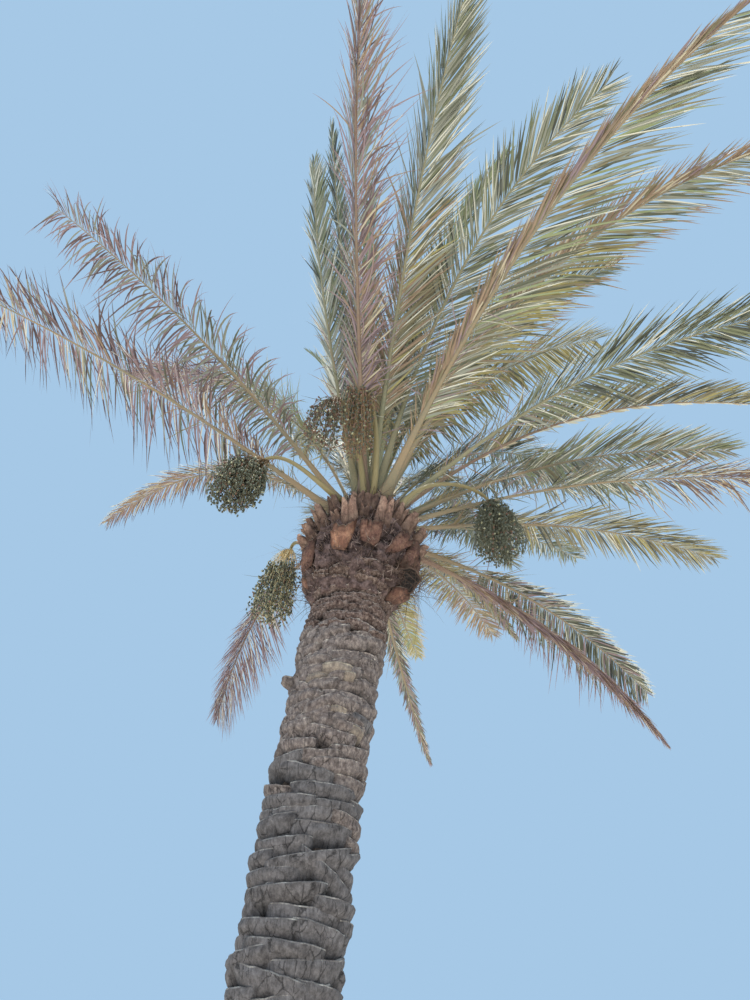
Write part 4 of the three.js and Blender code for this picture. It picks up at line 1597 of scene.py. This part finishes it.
    # Painted light of the fibre: painted shade in the hollows between its bumps, and how fast it lightens
    # with their height
    FELT_LIGHT, FELT_CONTRAST = 0.55, 40
    # Heights between which fibres grow
    HAIRY = (4.4, 5.2)
    # How far the felt lies inside the outline and fibres stand outside it
    OFF = 0.004
    # Fibres round the hollow: spread of their distance from its middle, how far they lean away from it, and
    # how far they head the way it opens
    FRINGE_SPREAD = (0.95, 1.25)
    FRINGE_LEAN = (-0.35, 1)
    FRINGE_AHEAD = 0.5
    # How much of its width a fibre loses to its end, and how surely it shows its broad side
    FIBRE_TAPER = 0.7
    BROADSIDE = 2
    # Outlines of the hollow and of its rim, as radius and depth, from the middle outwards
    HOLLOW = ((0.001, -0.04), (0.05, -0.034), (0.07, -0.015), (0.076, 0.012))
    RIM = ((0.076, 0.012), (0.081, 0.013), (0.088, 0.002), (0.1, -0.16))
    # Waves that make them ragged: number round the rim, height as a share of the radius, and start
    RAGGED = ((3, 0.06, 0), (5, 0.05, 1), (9, 0.04, 0))

    def radius(self, z: Array | float) -> Array | float:
        """Radius of the fibre at a height."""
        return np.interp(z, [ring[1] for ring in self.rings], [ring[0] for ring in self.rings])

    def fibre(self) -> None:
        """Makes the matted ball of fibre."""
        shape = Template.rod(self.SIDES, self.RINGS)
        x, y, share = shape.points.T
        z = self.rings[0][1] + share * (self.rings[-1][1] - self.rings[0][1])
        radius = np.where(np.hypot(x, y) < 0.5, 0, np.maximum(self.radius(z), 0.001))
        points = np.stack([lean(z) + x * radius, y * radius, z], axis=-1)
        rough = sum(height * Bumps.draw(seed, size).at(points)
                    for seed, size, height in (self.COARSE_BUMPS, self.FINE_BUMPS))
        rough = np.where(z < self.BUMPS_END, rough, 0)
        points = points + (rough - self.OFF)[:, None] * np.stack([x, y, 0 * x], axis=-1)
        heap = Heap()
        # Painted shade in the hollows between the bumps
        heap.add(shape, points[None], np.clip(self.FELT_LIGHT + self.FELT_CONTRAST * rough, 0, 1)[None])
        heap.build("head_fibre", Wood.MATTED.value, "fibre", ["leaf_base_head"])

    def cuts(self, rows: Rows) -> LeafBases:
        """Cut leaf bases: wide shields, rounded below and ragged above.

        Args:
            rows: Azimuth, lower end, width, height, ledge, turn aside and shade of each.

        Returns:
            The cuts.
        """
        draw = np.random.default_rng(self.seed + 1)
        azimuth, level, width, height, ledge, turn, shade = np.array(rows).T
        # Painted light: the cuts are in painted shade at the foot and more so at the top, and lightest low in
        # the middle
        return LeafBases(azimuth, level, width, height, ledge, self.radius, draw, shade, foot=0.5, arch=-0.3,
                         jag=0.08, bulge=1.8, sink=-0.004, dent=0.006, tilt=0.1, turn=np.radians(turn),
                         light=(0.4, 1.0, 0.9, 0.3))

    def strips(self, name: str, count: int, finish: Finish, fibres: Fibres, fringed: bool = False) -> None:
        """Makes thin strips of fibre.

        Args:
            name: The piece's name.
            count: Number of strips, besides those round the hollow.
            finish: Their finish.
            fibres: How they leave the head.
            fringed: Whether some more stand round the hollow.
        """
        draw = np.random.default_rng(self.seed + count)
        shape = Template.strip(1, 5)
        z = draw.uniform(*self.HAIRY, count)
        outward = bearing(draw.uniform(0, 360, count))
        root = outward * (self.radius(z) + self.OFF)[:, None]
        root[:, 0] += lean(z)
        root[:, 2] = z
        if fringed:
            rim = unit(np.cross(draw.normal(0, 1, (self.fringes, 3)), self.facing))
            rim = rim * self.fringe * draw.uniform(*self.FRINGE_SPREAD, (self.fringes, 1))
            root = np.vstack([root, self.hollow + rim])
            outward = np.vstack([outward, draw.uniform(*self.FRINGE_LEAN, (self.fringes, 1)) * unit(rim)
                                 + self.FRINGE_AHEAD * np.array(self.facing)])
            count += self.fringes
        stray = draw.normal(0, 1, (count, 3))
        heading = unit(fibres.outward * outward + fibres.stray * stray - fibres.upward * DOWN)
        bend = fibres.bend_down * DOWN - fibres.bend_in * outward
        bend = bend + draw.normal(0, fibres.disorder, (count, 3))
        length = draw.uniform(*fibres.length, count)
        x, s, _ = shape.points.T[:, None, :, None]
        side = unit(np.cross(heading, draw.normal(0, 1, (count, 3)) + self.BROADSIDE * outward))[:, None]
        points = root[:, None] + length[:, None, None] * (s * heading[:, None] + s ** 2 * bend[:, None])
        heap = Heap()
        heap.add(shape, points + fibres.half * (1 - self.FIBRE_TAPER * s) * x * side)
        heap.build(name, finish, "fibre")

    def fallen_base(self, name: str, profile: tuple[tuple[float, float], ...], wood: Wood) -> None:
        """Spins one part of the round hollow that a fallen leaf base has left.

        Args:
            name: The piece's name.
            profile: Its outline, as radius and depth.
            wood: What it is made of.
        """
        facing = Vector(self.facing).to_track_quat("Z", "Y").to_matrix().to_4x4()
        bm = bmesh.new()
        verts = [bm.verts.new((radius, 0, depth)) for radius, depth in profile]
        edges = [bm.edges.new(pair) for pair in zip(verts, verts[1:])]
        bmesh.ops.spin(bm, geom=verts + edges, cent=(0, 0, 0), axis=(0, 0, 1), angle=2 * math.pi, steps=28,
                       use_merge=True)
        bmesh.ops.remove_doubles(bm, verts=bm.verts, dist=1e-5)
        for vert in bm.verts:
            angle, ragged = math.atan2(vert.co.y, vert.co.x), 1
            for count, height, start in self.RAGGED:
                ragged += height * math.sin(count * angle + start)
            vert.co = Vector((vert.co.x * ragged, vert.co.y * ragged, vert.co.z))
        bmesh.ops.recalc_face_normals(bm, faces=bm.faces)
        if sum(f.normal.z for f in bm.faces) < 0:
            bmesh.ops.reverse_faces(bm, faces=bm.faces)
        bmesh.ops.transform(bm, matrix=Matrix.Translation(self.hollow) @ facing, verts=bm.verts)
        shape, heap = Template.of(bm), Heap()
        heap.add(shape, shape.points[None])
        heap.build(name, wood.value, "leaf_base")

    def build(self) -> None:
        """Makes the head."""
        self.fibre()
        fresh, older, boots, ends = (Heap() for _ in range(4))
        self.cuts(self.fresh).add(fresh, ends)
        self.cuts(self.older).add(older, ends)
        Boots(self.boots + self.plain, self.radius, self.seed + 2).add(boots, ends)
        for name, heap, wood in (("fresh_cuts", fresh, Wood.FRESH), ("older_cuts", older, Wood.OLDER),
                                 ("dry_boots", boots, Wood.BOOTS)):
            heap.build(name, wood.value, "leaf_base", ["leaf_base_head"])
        ends.build("head_cut_rims", Wood.TORN.value, "leaf_base")
        self.fallen_base("fallen_base_hollow", self.HOLLOW, Wood.HOLLOW)
        self.fallen_base("fallen_base_rim", self.RIM, Wood.RIM)
        # Single dull fibres, lighter the more the sun has bleached them
        self.strips("fibre_hairs", self.hairs, Finish("loose_palm_fibre", "#66544A", 0.9, 0.2), LOOSE, True)
        colours = {"dark": "#463937", "brown": "#705C56", "pale": "#A08B80"}
        for (name, colour), count in zip(colours.items(), self.mats):
            self.strips(f"fibre_mats_{name}", count, Finish(f"{name}_palm_fibre", colour, 0.9, 0.2), MATTED)


class Strand(Enum):
    """How the strands of a bunch look: thin, smooth and woody."""

    # Painted sunlight: cream where the sun falls on them
    SUNLIT_CREAM = Finish("sunlit_strand_skin", "#FFE6B4", 0.6, 0.3)
    # Ripening to a dull gold
    GOLDEN = Finish("golden_strand_skin", "#A98C62", 0.5)
    # Dry and brown
    BROWN = Finish("brown_strand_skin", "#8F7658", 0.5)
    # Olive, deep in the shade
    SHADED = Finish("shaded_strand_skin", "#6F6A54", 0.6, 0.3)


@dataclass(frozen=True)
class Bunch:
    """One bunch of dates on its stalk.

    Attributes:
        route: Points along the stalk, from the head to where the strands begin.
        centre: Middle of the strands' ends.
        radii: How far the ends lie from it along X, Y and Z.
        lift: How far the strands arch up before they hang down.
        strands: Number of strands.
        dates: Dates on one strand.
        ripe: Share of dates that have turned brown.
        pale: Share of dates that are pale, as painted highlights.
        bare: Share of a strand before its first date.
        strand: Look of the strands.
        fan: How soon the strands spread, 1 for at once.
        disorder: How far strands are bent aside at random.
    """

    route: tuple[tuple[float, float, float], ...]
    centre: tuple[float, float, float]
    radii: tuple[float, float, float]
    lift: float
    strands: int = 140
    dates: int = 15
    ripe: float = 0.05
    pale: float = 0.1
    bare: float = 0.25
    strand: Strand = Strand.BROWN
    fan: float = 0.9
    disorder: float = 0.025


def bunches() -> list[Bunch]:
    """The bunches: left, two in the middle, right, and low on the left."""
    return [
        Bunch(((0.2, -0.2, 5.1), (-0.012, -0.36, 5.18), (-0.206, -0.43, 5.28), (-0.375, -0.45, 5.243)),
              (-0.53, -0.45, 4.96), (0.19, 0.18, 0.17), lift=-0.02, bare=0.45, pale=0.06),
        Bunch(((0.34, -0.2, 5.15), (0.3, -0.35, 5.4), (0.22, -0.5, 5.66), (0.12, -0.58, 5.78)),
              (0.04, -0.6, 5.38), (0.13, 0.12, 0.2), lift=0.03, strands=70, dates=9, ripe=0.4, bare=0.4,
              disorder=0.035),
        Bunch(((0.4, -0.2, 5.15), (0.42, -0.4, 5.4), (0.38, -0.55, 5.72), (0.26, -0.62, 5.9)),
              (0.27, -0.62, 5.38), (0.12, 0.11, 0.3), lift=0.04, strands=80, ripe=0.5, pale=0.15, bare=0.2,
              strand=Strand.GOLDEN, disorder=0.045),
        Bunch(((0.598, -0.257, 5.02), (0.814, -0.21, 5.286), (1.119, -0.02, 5.457), (1.322, 0.075, 5.343)),
              (1.334, 0.075, 5.0), (0.19, 0.18, 0.19), lift=0.02, pale=0.06, strand=Strand.SHADED),
        Bunch(((0.0, 0.2, 5.0), (-0.1, 0.3, 5.1), (-0.18, 0.4, 5.2), (-0.226, 0.45, 5.154)),
              (-0.33, 0.5, 4.7), (0.18, 0.16, 0.2), lift=0.0, strands=80, dates=25, pale=0.3, bare=0.5,
              strand=Strand.SUNLIT_CREAM, fan=0.6, disorder=0.045),
    ]


@dataclass
class Fruit:
    """All bunches of dates: stalks, strands and the dates themselves.

    Attributes:
        bunches: The bunches.
        date_length: Length of a date.
        date_width: Width of a date.
        strand_radius: Radius of a strand where it begins.
        seed: Start of the random draws.
    """

    bunches: list[Bunch] = field(default_factory=bunches)
    date_length: float = 0.021
    date_width: float = 0.0135
    strand_radius: float = 0.0032
    seed: int = 3

    # Half width of a stalk at shares of its length, and how flat it is
    STALK_SHARES = (0, 0.4, 1)
    STALK_HALF_WIDTHS = (0.026, 0.019, 0.013)
    FLATNESS = 0.7
    # Strands leave the last part of the stalk
    ROOTED = 0.3
    # How much of its radius a strand loses to its tip
    TAPER = 0.8
    # Least and greatest factor of the depth at which strands end and of the height to which they arch
    DEPTH_SPREAD = (0.55, 1)
    LIFT_SPREAD = (0.3, 1.2)
    # Random place of a date beside its strand, and random turn of its axis
    BESIDE = 0.012
    TUMBLE = 0.5
    # Any direction that no strand or date follows for long
    ASIDE = (1.0, 0.2, 0.1)

    def stalk(self, bunch: Bunch) -> tuple[Template, Array]:
        """A bunch's stalk: a flattened, tapering rod along its route.

        Args:
            bunch: The bunch.

        Returns:
            The rod and its bent corners.
        """
        shape = Template.rod(8, 24)
        route = np.array(bunch.route)
        x, y, t = shape.points.T
        knots = np.linspace(0, 1, len(route))
        fit = [np.polyfit(knots, route[:, k], 3) for k in range(3)]
        middle = np.stack([np.polyval(f, t) for f in fit], axis=-1)
        along = unit(np.stack([np.polyval(np.polyder(f), t) for f in fit], axis=-1))
        side = unit(np.cross(along, DOWN))
        over = np.cross(along, side)
        thick = np.interp(t, self.STALK_SHARES, self.STALK_HALF_WIDTHS)[:, None]
        return shape, (middle + thick * (x[:, None] * side + self.FLATNESS * y[:, None] * over))[None]

    def arcs(self, bunch: Bunch, draw: np.random.Generator) -> tuple[Array, Array, Array]:
        """The arcs of a bunch's strands, which end on a bowl.

        Args:
            bunch: The bunch.
            draw: The generator of its disorder.

        Returns:
            Where each strand begins, the point towards which it bends, and where it ends.
        """
        count = bunch.strands
        end, before = np.array(bunch.route[-1]), np.array(bunch.route[-2])
        root = (end + (before - end) * draw.uniform(0, self.ROOTED, count)[:, None])[:, None]
        share, around = np.sqrt(draw.random(count)), draw.uniform(0, 2 * math.pi, count)
        depth = -np.sqrt(1 - share ** 2) * draw.uniform(*self.DEPTH_SPREAD, count)
        bowl = np.stack([share * np.cos(around), share * np.sin(around), depth], axis=-1)
        tip = (np.array(bunch.centre) + bowl * bunch.radii)[:, None]
        turn = root * (1 - bunch.fan) + tip * bunch.fan + draw.normal(0, bunch.disorder, tip.shape)
        turn[..., 2] = np.maximum(root, tip)[..., 2]
        turn[..., 2] += bunch.lift * draw.uniform(*self.LIFT_SPREAD, (count, 1))
        return root, turn, tip

    def dates(self, ball: Template, middle: Array, draw: np.random.Generator) -> Array:
        """Dates that hang at random about their places.

        Args:
            ball: The ball that becomes a date.
            middle: Their places, before they are shifted.
            draw: The generator of their disorder.

        Returns:
            The dates' corners.
        """
        middle = middle + draw.normal(0, self.BESIDE, middle.shape)
        axis = unit(DOWN + draw.normal(0, self.TUMBLE, middle.shape)).reshape(-1, 1, 3)
        first = unit(np.cross(axis, self.ASIDE))
        second = np.cross(axis, first)
        x, y, z = ball.points.T[:, None, :, None]
        dates = middle.reshape(-1, 1, 3) + self.date_width / 2 * (x * first + y * second)
        return dates + self.date_length / 2 * z * axis

    def build(self) -> None:
        """Makes the stalks, the strands, and green, pale and brown dates."""
        draw = np.random.default_rng(self.seed)
        stalks, green, pale, brown = (Heap() for _ in range(4))
        strands = {strand: Heap() for strand in Strand}
        rod, ball = Template.rod(3, 7), Template.ball(5, 4)
        x, y, t = rod.points.T[:, None, :, None]
        for bunch in self.bunches:
            stalks.add(*self.stalk(bunch))
            root, turn, tip = self.arcs(bunch, draw)
            ahead = unit((1 - t) * (turn - root) + t * (tip - turn))
            side = unit(np.cross(ahead, self.ASIDE))
            thick = self.strand_radius * (1 - self.TAPER * t) * (x * side + y * np.cross(ahead, side))
            strands[bunch.strand].add(rod, arc(root, turn, tip, t) + thick)
            share = (np.arange(bunch.dates) + draw.random((bunch.strands, bunch.dates))) / bunch.dates
            place = arc(root, turn, tip, bunch.bare + (1 - bunch.bare) * share[..., None])
            dates = self.dates(ball, place, draw)
            dealt = draw.random(len(dates))
            ripe, light = dealt < bunch.ripe, dealt > 1 - bunch.pale * (1 - bunch.ripe)
            for heap, chosen in ((brown, ripe), (pale, light), (green, ~ripe & ~light)):
                heap.add(ball, dates[chosen])
        # Smooth olive-yellow skin of a fruit stalk
        stalks.build("fruit_stalks", Finish("fruit_stalk_skin", "#988A62", 0.5), "fruit_stalk")
        for strand, heap in strands.items():
            heap.build(f"fruit_strands_{strand.name.lower()}", strand.value, "fruit_stalk")
        # Firm, smooth skins that shine a little: unripe green, pale straw ones that stand in as painted
        # highlights of the shine, and brown
        for name, heap, finish in (
                ("green", green, Finish("unripe_date_skin", "#676A5A", 0.3, 0.3)),
                ("pale", pale, Finish("glinting_date_skin", "#B2AE8C", 0.3)),
                ("brown", brown, Finish("ripening_date_skin", "#80604E", 0.35))):
            heap.build(f"dates_{name}", finish, "date_fruit")


@dataclass
class Studio:
    """Floor, light and camera.

    Attributes:
        floor_size: Side of the floor.
        camera_place: Where the camera stands.
        pitch: How far it looks up.
        roll: How far it leans.
        lens: Focal length in millimetres on a 36 mm sensor.
    """

    floor_size: float = 60.0
    camera_place: tuple[float, float, float] = (0.42, -4.2, 1.6)
    pitch: float = 41.5
    roll: float = 2.0
    lens: float = 27.04

    # Lamps shine on the head from this far away
    AIM = (0.36, 0, 4.9)
    DISTANCE = 12

    def floor(self) -> None:
        """Makes the plain pale floor."""
        bm = bmesh.new()
        bmesh.ops.create_grid(bm, x_segments=1, y_segments=1, size=self.floor_size / 2)
        mesh = bpy.data.meshes.new("floor")
        bm.to_mesh(mesh)
        bm.free()
        # Dry pale concrete: even and dull
        mesh.materials.append(Finish("pale_floor", "#C9C4BA", 0.9, 0.2).material())
        floor = bpy.data.objects.new("floor", mesh)
        bpy.context.scene.collection.objects.link(floor)

    def camera(self) -> None:
        """Places the camera at the photograph's viewing angle."""
        pitch, roll = math.radians(self.pitch), math.radians(self.roll)
        ahead = Vector((0, math.cos(pitch), math.sin(pitch)))
        level = Vector((1, 0, 0))
        above = level.cross(ahead)
        right = level * math.cos(roll) + above * math.sin(roll)
        up = above * math.cos(roll) - level * math.sin(roll)
        data = bpy.data.cameras.new("camera")
        data.sensor_width, data.lens = 36, self.lens
        data.clip_end = 200
        camera = bpy.data.objects.new("camera", data)
        turned = Matrix((right, up, -ahead)).transposed().to_4x4()
        camera.matrix_world = Matrix.Translation(self.camera_place) @ turned
        bpy.context.scene.collection.objects.link(camera)
        bpy.context.scene.camera = camera

    def light(self, name: str, kind: str, energy: float, azimuth: float, height: float, **settings) -> None:
        """Adds a lamp that shines on the head from an azimuth and height.

        Args:
            name: The lamp's name.
            kind: "SUN" or "AREA".
            energy: Its strength.
            azimuth: Where it stands.
            height: How high it stands above level.
            **settings: The lamp's own properties.
        """
        data = bpy.data.lights.new(name, kind)
        data.energy = energy
        for key, value in settings.items():
            setattr(data, key, value)
        lamp = bpy.data.objects.new(name, data)
        azimuth, height = math.radians(azimuth), math.radians(height)
        level = math.cos(height)
        towards = Vector((level * math.cos(azimuth), level * math.sin(azimuth), math.sin(height)))
        lamp.location = Vector(self.AIM) + towards * self.DISTANCE
        lamp.rotation_mode = "QUATERNION"
        lamp.rotation_quaternion = towards.to_track_quat("Z", "Y")
        bpy.context.scene.collection.objects.link(lamp)

    def world(self, colour: str, strength: float) -> None:
        """Surrounds the scene with one pale colour."""
        world = bpy.data.worlds.new("studio")
        world.use_nodes = True
        background = world.node_tree.nodes["Background"]
        background.inputs["Color"].default_value = linear(colour)
        background.inputs["Strength"].default_value = strength
        bpy.context.scene.world = world

    def build(self) -> None:
        """Makes the floor, the lights and the camera."""
        self.floor()
        self.camera()
        self.light("sun", "SUN", 6.0, 320, 80, angle=math.radians(2), color=(1.0, 0.95, 0.87))
        self.light("fill", "SUN", 0.5, 255, 20, angle=math.radians(60))
        self.world("#A6C8E6", 1.0)
        bpy.context.scene.view_settings.view_transform = "Standard"


def main() -> None:
    """Builds the sub-assemblies in order and reports each piece."""
    logging.basicConfig(level=logging.INFO, format="%(name)s %(message)s")
    for part in (Trunk(), Head(), Crown(), Fruit(), Studio()):
        part.build()
        LOG.info("%s done", type(part).__name__)


if __name__ == "__main__":
    main()
